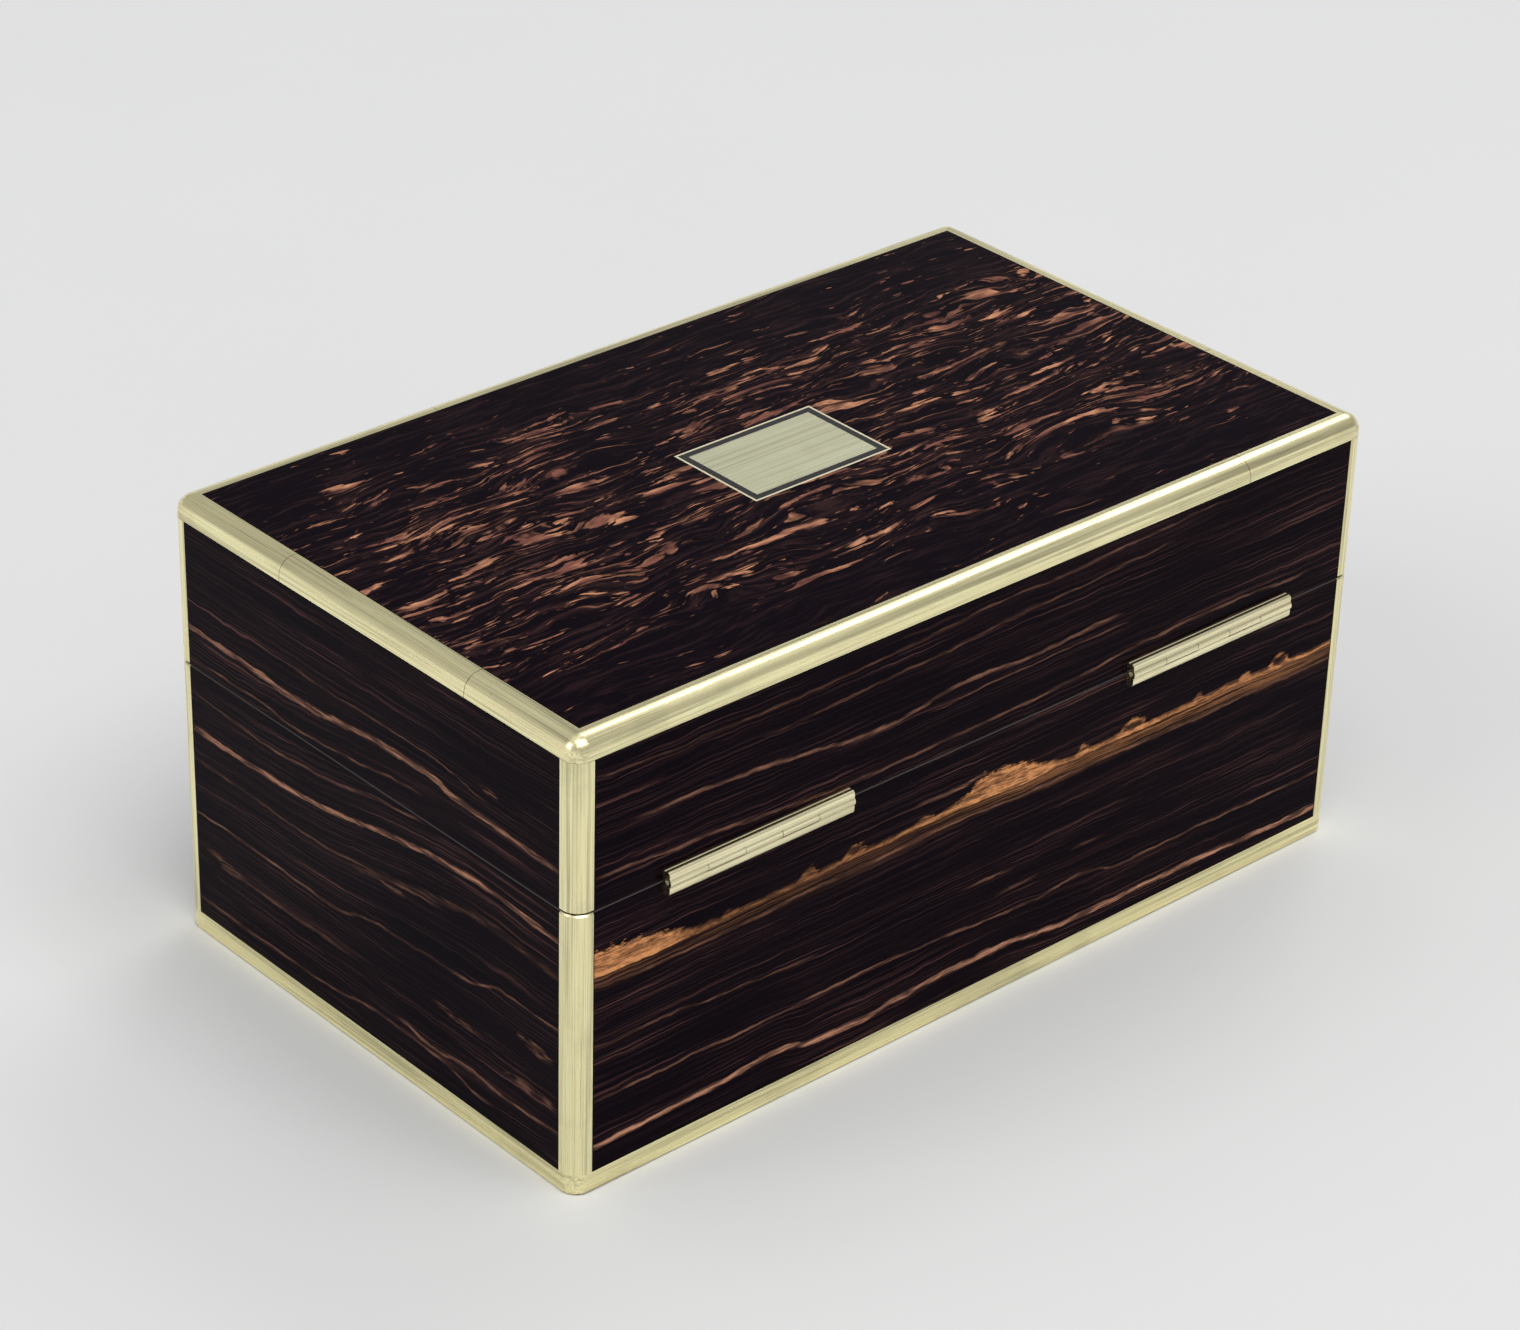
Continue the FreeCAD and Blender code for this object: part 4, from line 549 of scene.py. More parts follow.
def rubbed_brass(name, run, colour, seed, joints=(), wander=0.9, roughness=0.15, darkening_share=0.72):
    """Satin brass with streaks along run, tarnish in clouds, and fine dark joints at given places. Its paler
    streaks are painted highlight lines, and its darker lengthwise streaks and bands are partly tarnish and
    partly painted reflection.
    """
    s = bpy.context.scene.box_finishes
    paint = Paint(name, metallic=1.0)
    places = {"x": paint.x, "y": paint.y, "z": paint.z}
    gap = s.rubbing_gap * PER_MM
    stretched = [places[axis] / (60.0 if axis == run else gap) for axis in "xyz"]
    streaks = paint.noise(*[part + seed for part in stretched], detail=4, roughness=0.65)
    broad = paint.noise(*[places[axis] / (90.0 if axis == run else 1.5) + seed for axis in "xyz"], detail=2)
    clouds = paint.noise(paint.x / 21 + seed, paint.y / 21, paint.z / 21, detail=4, roughness=0.6)
    spots = paint.noise(paint.x / 1.7, paint.y / 1.7, paint.z / 1.7 + seed, detail=2).rise(0.70, 0.78)
    # Real tarnish in clouds and spots; the darker lengthwise streaks and bands are partly tarnish and partly
    # painted reflection.
    tarnish_and_reflection = (0.55 * streaks.rise(0.50, 0.60) + 0.55 * broad.rise(0.50, 0.60)
               + 0.35 * clouds.rise(0.52, 0.74) + 0.3 * spots).least(1.0)
    # Painted highlight: paler brass along the rubbing streaks, standing in for highlight lines.
    painted_highlight_brass = [min(1.0, part * 1.16 + 0.02) for part in colour]
    metal = paint.mix((1.0 - streaks).rise(0.52, 0.66), colour, painted_highlight_brass)
    metal = paint.mix(tarnish_and_reflection * darkening_share, metal, s.brass_shade)
    for place in joints:
        lie = paint.noise(paint.x / 2.2, paint.y / 2.2, paint.z / 2.2, detail=2) - 0.5
        crack = 1.0 - abs(places[run] - place + wander * lie).rise(0.05, 0.16)
        metal = paint.mix(crack * 0.85, metal, BRASS_JOINT_COLOUR)
    dull = roughness + 0.16 * streaks + 0.08 * clouds
    ridges = streaks + 0.5 * broad
    return paint.feed(base_color=metal, roughness=dull, normal=paint.bump(ridges, 0.000014))


def worn_metal(name, colour, shade, roughness, seed):
    """Plain turned or filed metal with fine scratches every way and darker clouds."""
    paint = Paint(name, metallic=1.0)
    clouds = paint.noise(paint.x / 5, paint.y / 5, paint.z / 5 + seed, detail=4, roughness=0.6)
    scratches = paint.noise(paint.x * 2.4, paint.y / 3, paint.z * 2.4 + seed, detail=3, roughness=0.7)
    metal = paint.mix(clouds.rise(0.40, 0.72) * 0.6, colour, shade)
    return paint.feed(base_color=metal, roughness=roughness + 0.22 * scratches,
                      normal=paint.bump(scratches, 0.00002))


def plain_wood(name, pale, dark, grain_axis, ring_gap, roughness, seed, stained_rim=()):
    """Straight-grained wood: growth rings, fibres and pores, stained dark at the given heights."""
    paint = Paint(name, specular_ior_level=0.4)
    run = paint.x if grain_axis == "x" else paint.y
    side = paint.y if grain_axis == "x" else paint.x
    bend = 2.5 * (paint.noise(run / 70, side / 20, paint.z / 20 + seed, detail=2) - 0.5)
    rings = (((side + paint.z * 0.6) + bend * ring_gap) / ring_gap).bounce(0.5) * 2.0
    fibre = paint.noise(run / 22, side * 2.2, paint.z * 2.2 + seed, detail=4, roughness=0.65)
    wood = paint.mix((0.55 * rings ** 2.0 + 0.7 * fibre.rise(0.35, 0.75)).least(1.0), pale, dark)
    for level in stained_rim:
        on_rim = 1.0 - abs(paint.z - level).rise(0.25, 0.35)
        stain = paint.mix(fibre, *RIM_STAINS)
        wood = paint.mix(on_rim, wood, stain)
    return paint.feed(base_color=wood, roughness=roughness + 0.2 * fibre, normal=paint.bump(fibre, 0.00005))


def pile_cloth(name, colour, seed):
    """Short pile velvet: brushed patches, a soft sheen and fine tufts."""
    paint = Paint(name, roughness=0.92, specular_ior_level=0.12, sheen_weight=0.35,
                  sheen_roughness=0.35, sheen_tint=[min(1.0, 0.22 + 1.8 * part) for part in colour])
    brushed = paint.noise(paint.x / 24, paint.y / 24, paint.z / 24 + seed, detail=2, roughness=0.45)
    lines = paint.noise(paint.x / 1.2, paint.y / 9.0, paint.z / 2.5 + seed, detail=3, roughness=0.6)
    tufts = paint.noise(paint.x * 3.0, paint.y * 3.0, paint.z * 3.0 + seed, detail=2, roughness=0.7)
    deep = [part * 0.42 for part in colour]
    raised = [min(1.0, part * 1.35 + 0.006) for part in colour]
    shade = 0.30 * brushed.rise(0.30, 0.72) + 0.22 * lines + 0.55 * tufts
    cloth = paint.mix(shade.least(1.0), deep, raised)
    return paint.feed(base_color=cloth, roughness=0.84 + 0.14 * tufts,
                      normal=paint.bump(tufts + 0.4 * lines, 0.00022))


def ribbed_silk(name, colour):
    """Grosgrain ribbon: fine ribs across its length, with painted highlight on their tops and painted shade in
    the hollows between them.
    """
    paint = Paint(name, specular_ior_level=0.5, sheen_weight=0.3, sheen_roughness=0.3)
    ribs = (paint.z / 0.55).bounce(0.5) * 2.0
    threads = paint.noise(paint.x * 3, paint.y * 4, paint.z * 1.5, detail=3, roughness=0.6)
    # Painted highlight and shade: the silk is paler on each rib's top and darker between the ribs.
    silk = paint.mix(0.25 + 0.5 * ribs + 0.3 * (threads - 0.5), [part * 0.6 for part in colour],
                     [min(1.0, part * 2.4) for part in colour])
    return paint.feed(base_color=silk, roughness=0.46 + 0.15 * threads,
                      normal=paint.bump(ribs + 0.4 * threads, 0.00012))


def felted_baize(name, colour):
    """Felted wool: tangled fibres with paler and darker flecks."""
    paint = Paint(name, roughness=0.95, specular_ior_level=0.1, sheen_weight=0.25, sheen_roughness=0.5)
    tangle = paint.noise(paint.x * 1.5, paint.y * 1.5, paint.z * 1.5,
                         detail=5, roughness=0.75, distortion=1.2)
    worn = paint.noise(paint.x / 30, paint.y / 30, 4.0, detail=3)
    wool = paint.mix((0.7 * tangle + 0.5 * (worn - 0.3)).least(1.0), [part * 0.45 for part in colour],
                     [min(1.0, part * 1.9) for part in colour])
    return paint.feed(base_color=wool, roughness=0.88 + 0.1 * tangle, normal=paint.bump(tangle, 0.0003))


def solids(name):
    """The lowest and highest corners of each separate solid of a CAD node, in order along X then Y.

    Solids that touch share edges of more than two faces, so the search doesn't cross those."""
    welded = bmesh.new()
    welded.from_mesh(NODES[name].data)
    bmesh.ops.remove_doubles(welded, verts=welded.verts, dist=1e-6)
    left, found = set(welded.faces), []
    while left:
        reached = [left.pop()]
        for face in reached:
            for edge in face.edges:
                if len(edge.link_faces) == 2:
                    for other in edge.link_faces:
                        if other in left:
                            left.discard(other)
                            reached.append(other)
        if len(reached) > LONE_FACES:
            places = [vert.co.copy() for face in reached for vert in face.verts]
            found.append((Vector(map(min, *places)), Vector(map(max, *places))))
    welded.free()
    return sorted(found, key=lambda pair: (round(pair[0].x, 5), round(pair[0].y, 5)))


def new_piece(name, shape, material, body):
    """Turns a bmesh into a named piece with its finish, body and slot."""
    mesh = bpy.data.meshes.new(name)
    bmesh.ops.recalc_face_normals(shape, faces=shape.faces)
    shape.to_mesh(mesh)
    shape.free()
    for face in mesh.polygons:
        face.use_smooth = True
    piece = bpy.data.objects.new(name, mesh)
    bpy.context.scene.collection.objects.link(piece)
    mesh.materials.append(material)
    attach(piece, body)
    return piece


def rounded_block(shape, low, high, radius, step):
    """Adds a block with rounded edges and an even grid of faces to a bmesh. Returns its vertices."""
    middle, half = (low + high) / 2, (high - low) / 2
    radius = min(radius, *half)
    lines = [grid_line(size, radius, step) for size in half]
    counts = [len(line) - 1 for line in lines]
    grid = {}

    def vert_at(index):
        if index not in grid:
            spot = Vector(middle[axis] + lines[axis][index[axis]] for axis in range(3))
            core = Vector(max(min(spot[axis], middle[axis] + half[axis] - radius),
                              middle[axis] - half[axis] + radius) for axis in range(3))
            away = spot - core
            grid[index] = shape.verts.new(core + away.normalized() * radius if away.length > 0 else spot)
        return grid[index]

    for axis in range(3):
        one, two = (axis + 1) % 3, (axis + 2) % 3
        for end in (0, counts[axis]):
            for i in range(counts[one]):
                for j in range(counts[two]):
                    ring = []
                    for di, dj in ((0, 0), (1, 0), (1, 1), (0, 1)):
                        index = [0, 0, 0]
                        index[axis], index[one], index[two] = end, i + di, j + dj
                        ring.append(vert_at(tuple(index)))
                    shape.faces.new(ring)
    return list(grid.values())


def grid_line(half, radius, step):
    """Places from -half to half: each rounding gets three faces of its own and the rest is even."""
    bend = [half - radius * (1 - math.tan(math.radians(angle))) for angle in (15, 30, 45)]
    flat = half - radius
    count = math.ceil(2 * flat / step) if flat > step / 100 else 0
    level = [flat * (2 * part / count - 1) for part in range(count + 1)] if count else [0.0]
    return [-place for place in reversed(bend)] + level + bend


def ripple(verts, height, size, seed):
    """Moves vertices up and down their normals by smooth noise, as cloth over board lies."""
    for vert in verts:
        vert.normal_update()
    shift = Vector((seed, 0, 0))
    moves = [(vert, vert.normal * height * noise.noise(vert.co / size + shift)) for vert in verts]
    for vert, move in moves:
        vert.co += move


def covered_boards(name, node, material, body, step, height, size):
    """Stands for a CAD node of boards with one piece: each board rounded and covered in cloth."""
    shape = bmesh.new()
    for number, (low, high) in enumerate(solids(node)):
        verts = rounded_block(shape, low, high, bpy.context.scene.box_linings.board_round, step)
        bmesh.ops.recalc_face_normals(shape, faces=shape.faces)
        ripple(verts, height, size, number * 7.3)
    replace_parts(new_piece(name, shape, material, body), node)


def inflate(piece, held, cap, pressure, frames=20, shrink=-0.06):
    """Fills a closed cover with stuffing by a cloth simulation.

    held gives how firmly each vertex is sewn or glued down."""
    mesh = piece.data
    rest = [vert.co.copy() for vert in mesh.vertices]
    group = piece.vertex_groups.new(name="held")
    for index, firmness in held.items():
        group.add([index], firmness, "REPLACE")
    modifier = piece.modifiers.new("stuffing", "CLOTH")
    cloth = modifier.settings
    cloth.quality = 6
    cloth.mass = 0.15
    cloth.tension_stiffness = cloth.compression_stiffness = 12.0
    cloth.shear_stiffness = 4.0
    cloth.bending_stiffness = 0.35
    cloth.use_pressure = True
    cloth.uniform_pressure_force = pressure
    cloth.shrink_min = shrink
    cloth.effector_weights.gravity = 0.0
    cloth.vertex_group_mass = "held"
    modifier.point_cache.frame_start, modifier.point_cache.frame_end = 1, frames
    for number in range(1, frames + 1):
        bpy.context.scene.frame_set(number)
    settled = piece.evaluated_get(bpy.context.evaluated_depsgraph_get())
    moved = [vert.co.copy() for vert in settled.data.vertices]
    piece.modifiers.remove(modifier)
    piece.vertex_groups.remove(group)
    bpy.context.scene.frame_set(1)
    for vert, before, after in zip(mesh.vertices, rest, moved):
        way = after - before
        vert.co = before + way * min(1.0, cap / way.length) if way.length > 0 else before
    mesh.update()


class BOX_OT_veneers(bpy.types.Operator):
    """Polish the nine sheets of veneer"""

    bl_idname = "jewelry_box.veneers"
    bl_label = "Veneers"

    def execute(self, context):
        # For each side: grain, mirrored, stripes, flow, flares, whether it has the bright streak, seed.
        plans = {
            "back": ("x", False, LONG_STRIPES, LONG_FLOW, (), True, 3.0),
            "front": ("x", True, LONG_STRIPES, LONG_FLOW, (), False, 47.0),
            "right": ("y", False, END_STRIPES, END_FLOW, END_FLARES, False, 19.0),
            "left": ("y", True, END_STRIPES, END_FLOW, END_FLARES, False, 83.0),
        }
        for side, plan in plans.items():
            names = [f"{part}_{side}_veneer" for part in ("base", "lid")]
            low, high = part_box(names[0])[0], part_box(names[1])[1]
            seam = (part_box(names[0])[1].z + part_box(names[1])[0].z) / 2 * PER_MM
            dress(names, side_veneer(f"{side}_veneer_polished", *plan, low, high, seam))
        dress(["lid_top_veneer"], top_veneer(*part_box("lid_top_veneer")))
        return {"FINISHED"}


class BOX_OT_edging(bpy.types.Operator):
    """Finish the brass strips along every edge"""

    bl_idname = "jewelry_box.edging"
    bl_label = "Brass edging"

    def execute(self, context):
        brass = context.scene.box_finishes.brass
        joints = {"right": (-38.5, 44.0), "back": (-102.0,), "left": (30.0,), "front": (61.0,)}
        for side in SIDES:
            run = "x" if side in ("front", "back") else "y"
            for part, seed in (("top", 3.0), ("bottom", 8.0)):
                places = joints[side] if part == "top" else ()
                dress([f"{part}_strip_{side}"],
                      rubbed_brass(f"{part}_{side}_edging_brass", run, brass, seed + len(side) * 2.1, places))
        for part, seed in (("base", 5.0), ("lid", 11.0)):
            names = [f"{part}_corner_strip_{corner}" for corner in CORNERS]
            top_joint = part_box(names[0])[1].z * PER_MM
            dress(names,
                  rubbed_brass(f"{part}_corner_edging_brass", "z", brass, seed, (top_joint,), wander=0.0))
        return {"FINISHED"}


class BOX_OT_plate(bpy.types.Operator):
    """Finish the brass plate in the lid with its ebony border and boxwood line"""

    bl_idname = "jewelry_box.plate"
    bl_label = "Plate and border"

    def execute(self, context):
        finishes = context.scene.box_finishes
        dress(["plaque"],
              rubbed_brass("plate_brass", "x", finishes.plate_brass, seed=17.0, roughness=0.24, darkening_share=0.5))
        dress(["plaque_border"],
              plain_wood("ebony_border", (0.010, 0.009, 0.008), (0.004, 0.004, 0.004), "x",
                         ring_gap=1.1, roughness=0.12, seed=2.0))
        dress(["plaque_stringing"],
              plain_wood("boxwood_line", (0.74, 0.68, 0.48), (0.55, 0.47, 0.30), "x",
                         ring_gap=0.7, roughness=0.25, seed=6.0))
        return {"FINISHED"}


class BOX_OT_hardware(bpy.types.Operator):
    """Finish the hinges, screws, lock, link plate, key and escutcheon"""

    bl_idname = "jewelry_box.hardware"
    bl_label = "Hinges and lock"

    def execute(self, context):
        finishes = context.scene.box_finishes
        brass, steel = finishes.hinge_brass, finishes.steel
        leaves = [f"hinge_{part}_leaf_{side}" for part in ("base", "lid") for side in ("left", "right")]
        dress(leaves, rubbed_brass("hinge_leaf_brass", "x", brass, seed=23.0, darkening_share=0.55))
        dress(["lock_case", "lock_link_plate", "lock_bolt"],
              rubbed_brass("lock_brass", "x", brass, seed=29.0, roughness=0.30))
        dress(["escutcheon"], worn_metal("escutcheon_brass", brass, finishes.brass_shade,
                                         roughness=0.22, seed=31.0))
        dress(["base_screws", "lid_screws"],
              worn_metal("screw_brass", brass, finishes.brass_shade, roughness=0.30, seed=37.0))
        dark_steel = (0.20, 0.18, 0.15)
        dress(["hinge_pins", "key"],
              worn_metal("worn_steel", steel, dark_steel, roughness=0.24, seed=41.0))
        return {"FINISHED"}


class BOX_OT_woods(bpy.types.Operator):
    """Finish the carcass boards and the lip strips"""

    bl_idname = "jewelry_box.woods"
    bl_label = "Boards and lip"

    def execute(self, context):
        rims = (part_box("base_front_board")[1].z * PER_MM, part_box("lid_front_board")[0].z * PER_MM)
        pale, dark = (0.36, 0.20, 0.105), (0.17, 0.080, 0.038)
        for axis, sides in (("x", ("front", "back")), ("y", ("left", "right"))):
            names = [f"{part}_{side}_board" for part in ("base", "lid") for side in sides]
            dress(names, plain_wood(f"pine_along_{axis}", pale, dark, axis,
                                    ring_gap=3.4, roughness=0.5, seed=12.0, stained_rim=rims))
        dress(["bottom_board", "lid_top_board"],
              plain_wood("pine_panel", pale, dark, "x", ring_gap=4.6, roughness=0.55, seed=15.0))
        dress(["lip_strips"],
              plain_wood("rosewood_lip", (0.19, 0.066, 0.036), (0.050, 0.018, 0.012), "x",
                         ring_gap=2.4, roughness=0.2, seed=18.0))
        return {"FINISHED"}


class BOX_OT_lid_pad(bpy.types.Operator):
    """Make the buttoned velvet pad inside the lid, with its piping and buttons"""

    bl_idname = "jewelry_box.lid_pad"
    bl_label = "Lid pad"

    def execute(self, context):
        linings = context.scene.box_linings
        velvet = pile_cloth("lid_velvet", linings.velvet, seed=3.0)
        low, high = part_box("lid_pad")
        rounding = 0.0022
        inset = Vector((rounding, rounding, 0.0))
        shape = bmesh.new()
        rounded_block(shape, low + inset, high - inset, rounding, step=0.0036)
        pad = new_piece("lid_pad_velvet", shape, velvet, "lid")
        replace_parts(pad, "lid_pad")
        buttons = self.button_places(low, high, linings.button_gap)
        pleats = self.pleats(buttons, linings.button_gap)
        face = low.z
        tuft_width, tuft_depth = 0.0062, 0.0034
        pleat_width, pleat_depth, pleat_hold = 0.0026, 0.0016, 0.55
        cover_depth, glued_rim = 0.0028, 0.0045
        held = {}
        for vert in pad.data.vertices:
            from_edge = min(vert.co.x - low.x, high.x - vert.co.x, vert.co.y - low.y, high.y - vert.co.y)
            if vert.co.z > face + cover_depth or from_edge < glued_rim:
                held[vert.index] = 1.0
                continue
            apart = min((vert.co.xy - button).length for button in buttons)
            crease = math.exp(-(self.pleat_distance(vert.co.xy, pleats) / pleat_width) ** 2)
            vert.co.z += tuft_depth * math.exp(-(apart / tuft_width) ** 2) + pleat_depth * crease
            held[vert.index] = 1.0 if apart < tuft_width * 0.5 else pleat_hold * crease
        inflate(pad, held, cap=linings.pad_swell, pressure=8.0)
        smooth = pad.modifiers.new("smooth", "SUBSURF")
        smooth.levels = smooth.render_levels = 1
        self.make_buttons(buttons, face, linings.button_radius, velvet)
        self.make_piping(low, high, velvet)
        return {"FINISHED"}

    @staticmethod
    def pleats(buttons, gap):
        """The pleats that run slantwise from each button to the next row: starts and ways."""
        return [(one, other - one) for one in buttons for other in buttons
                if other.y > one.y and gap * 0.6 < (other - one).length < gap * 0.98]

    @staticmethod
    def pleat_distance(spot, pleats):
        """How far a place is from the nearest pleat."""
        gaps = []
        for start, way in pleats:
            share = max(0.0, min(1.0, (spot - start).dot(way) / way.length_squared))
            gaps.append((spot - start - way * share).length)
        return min(gaps)

    @staticmethod
    def button_places(low, high, gap):
        """Buttons in staggered rows, centred on the pad."""
        middle, row_gap = (low + high) / 2, gap * 0.80
        rows = int((high.y - low.y - row_gap) / row_gap / 2)
        places = []
        for row in range(-rows, rows + 1):
            shift = gap / 2 if row % 2 else 0.0
            reach = int((high.x - low.x) / gap) + 1
            for column in range(-reach, reach + 1):
                spot = Vector((middle.x + column * gap + shift, middle.y + row * row_gap))
                if low.x + gap * 0.4 < spot.x < high.x - gap * 0.4:
                    places.append(spot)
        return places

    @staticmethod
    def make_buttons(places, face, radius, velvet):
        """Domed buttons covered in the same velvet, each drawn down into its tuft."""
        sunk, gathers, gather_depth = 0.0022, 9, 0.00012
        shape = bmesh.new()
        for number, place in enumerate(places):
            turn = Matrix.Rotation(number * 1.3, 4, "Z")
            size = Matrix.Diagonal((radius, radius * 0.97, radius * 0.52, 1.0))
            spot = Matrix.Translation((place.x, place.y, face + sunk))
            made = bmesh.ops.create_uvsphere(shape, u_segments=20, v_segments=12, radius=1.0,
                                             matrix=spot @ turn @ size)
            for vert in made["verts"]:
                around = math.atan2(vert.co.y - place.y, vert.co.x - place.x)
                away = (vert.co.xy - place).length / radius
                vert.co.z += gather_depth * math.sin(around * gathers + number) * away ** 3
        new_piece("lid_pad_buttons", shape, velvet, "lid")

    @staticmethod
    def make_piping(low, high, velvet):
        """A corded edge in velvet round the pad, where it meets the lid's walls."""
        radius, round_off, sunk = 0.0016, 0.004, 0.0012
        path = rounded_ring(low.x + radius, high.x - radius, low.y + radius, high.y - radius,
                            low.z + sunk, round_off)
        shape = bmesh.new()
        tube(shape, path, radius, sides=12, twist=0.00006)
        new_piece("lid_pad_piping", shape, velvet, "lid")


def rounded_ring(x_low, x_high, y_low, y_high, level, radius, step=0.003):
    """Points round a rectangle with rounded corners, evenly spaced."""
    corners = ((x_high - radius, y_high - radius, 0), (x_low + radius, y_high - radius, 90),
               (x_low + radius, y_low + radius, 180), (x_high - radius, y_low + radius, 270))
    bends = []
    for x, y, start in corners:
        for part in range(7):
            angle = math.radians(start + part * 15)
            bends.append(Vector((x + radius * math.cos(angle), y + radius * math.sin(angle), level)))
    path = []
    for here, following in zip(bends, bends[1:] + bends[:1]):
        count = max(1, round((following - here).length / step))
        path += [here.lerp(following, part / count) for part in range(count)]
    return path


def tube(shape, path, radius, sides, twist=0.0):
    """A closed tube along a closed level path, with a faint twist in its surface."""
    rings, count = [], len(path)
    for number, spot in enumerate(path):
        ahead = (path[(number + 1) % count] - path[number - 1]).normalized()
        outward = Vector((ahead.y, -ahead.x, 0.0))
        ring = []
        for part in range(sides):
            angle = part * math.tau / sides
            swell = radius + twist * math.sin(angle * 2 + number * 0.9)
            lift = Vector((0, 0, math.sin(angle) * swell))
            ring.append(shape.verts.new(spot + outward * math.cos(angle) * swell + lift))
        rings.append(ring)
    join_rings(shape, rings, rings[1:] + rings[:1])


def join_rings(shape, rings, following):
    """Faces between each ring of vertices and the ring that follows it."""
    for ring, after in zip(rings, following):
        for part, vert in enumerate(ring):
            beside = (part + 1) % len(ring)
            shape.faces.new((vert, ring[beside], after[beside], after[part]))


class BOX_OT_well(bpy.types.Operator):
    """Make the velvet linings and the padded floor of the well"""

    bl_idname = "jewelry_box.well"
    bl_label = "Well linings"

    def execute(self, context):
        velvet = pile_cloth("well_velvet", context.scene.box_linings.velvet, seed=9.0)
        covered_boards("well_lining_boards", "well_linings", velvet, "base",
                       step=0.005, height=0.00018, size=0.012)
        low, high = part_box("well_floor_pad")
        shape = bmesh.new()
        rounded_block(shape, low, high, radius=0.0014, step=0.005)
        pad = new_piece("well_floor_velvet", shape, velvet, "base")
        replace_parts(pad, "well_floor_pad")
        thickness, glued_rim = high.z - low.z, 0.0015
        held = {}
        for vert in pad.data.vertices:
            rim = min(vert.co.x - low.x, high.x - vert.co.x, vert.co.y - low.y, high.y - vert.co.y)
            if vert.co.z < low.z + thickness * 0.6 or rim < glued_rim:
                held[vert.index] = 1.0
        inflate(pad, held, cap=0.0022, pressure=2.0, frames=14)
        smooth = pad.modifiers.new("smooth", "SUBSURF")
        smooth.levels = smooth.render_levels = 1
        return {"FINISHED"}


class BOX_OT_tray(bpy.types.Operator):
    """Make the velvet-covered tray, its walls and its dividers"""

    bl_idname = "jewelry_box.tray"
    bl_label = "Tray"

    def execute(self, context):
        velvet = pile_cloth("tray_pile_velvet", context.scene.box_linings.velvet, seed=15.0)
        for name, node, step in (("tray_floor_velvet", "tray_bottom", 0.005),
                                 ("tray_wall_velvet", "tray_walls", 0.004),
                                 ("tray_divider_velvet", "tray_dividers", 0.004)):
            covered_boards(name, node, velvet, "tray", step, height=0.00014, size=0.010)
        return {"FINISHED"}


class BOX_OT_ring_rolls(bpy.types.Operator):
    """Make the stuffed velvet rolls that hold rings"""

    bl_idname = "jewelry_box.ring_rolls"
    bl_label = "Ring rolls"

    def execute(self, context):
        linings = context.scene.box_linings
        velvet = pile_cloth("roll_velvet", linings.velvet, seed=21.0)
        sewn_end = 0.0006
        for number, (low, high) in enumerate(solids("ring_rolls"), 1):
            roll = new_piece(f"ring_roll_{number}", self.roll(low, high, number), velvet, "tray")
            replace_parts(roll, "ring_rolls")
            ends = {vert.index: 1.0 for vert in roll.data.vertices
                    if min(vert.co.y - low.y, high.y - vert.co.y) < sewn_end}
            inflate(roll, ends, cap=linings.roll_swell, pressure=2.0, frames=12, shrink=-0.04)
            smooth = roll.modifiers.new("smooth", "SUBSURF")
            smooth.levels = smooth.render_levels = 1
        return {"FINISHED"}

    @staticmethod
    def roll(low, high, number, sides=28, step=0.0032):
        """A round bolster along Y with gathered, domed ends."""
        shape = bmesh.new()
        middle = (low + high) / 2
        radius = min(high.x - low.x, high.z - low.z) / 2 - 0.0003
        length, dome = high.y - low.y, 0.0035
        inner = [low.y + dome + part * (length - 2 * dome) / round(length / step)
                 for part in range(round(length / step) + 1)]
        ends = [(dome * (1 - math.cos(math.radians(angle))), math.sin(math.radians(angle)))
                for angle in (22, 45, 68)]
        stations = [(low.y + back, size) for back, size in ends]
        stations += [(y, 1.0) for y in inner]
        stations += [(high.y - back, size) for back, size in reversed(ends)]
        rings = []
        for y, size in stations:
            ring = []
            for part in range(sides):
                angle = part * math.tau / sides
                gather = 1.0 - (0.05 * (1 - size) + 0.006) * (1 + math.cos(angle * 9 + number * 1.7)) / 2
                wave = 1.0 - 0.008 * (1 + noise.noise(Vector((angle, y * 60, number * 3.1)))) / 2
                reach = radius * size * gather * wave
                across, up = reach * math.cos(angle), reach * math.sin(angle)
                ring.append(shape.verts.new((middle.x + across, y, middle.z + up)))
            rings.append(ring)
        join_rings(shape, rings, rings[1:])
        for ring, y in ((rings[0], low.y), (rings[-1], high.y)):
            tip = shape.verts.new((middle.x, y + math.copysign(0.0004, middle.y - y), middle.z))
            for part in range(sides):
                shape.faces.new((ring[part], ring[(part + 1) % sides], tip))
        return shape


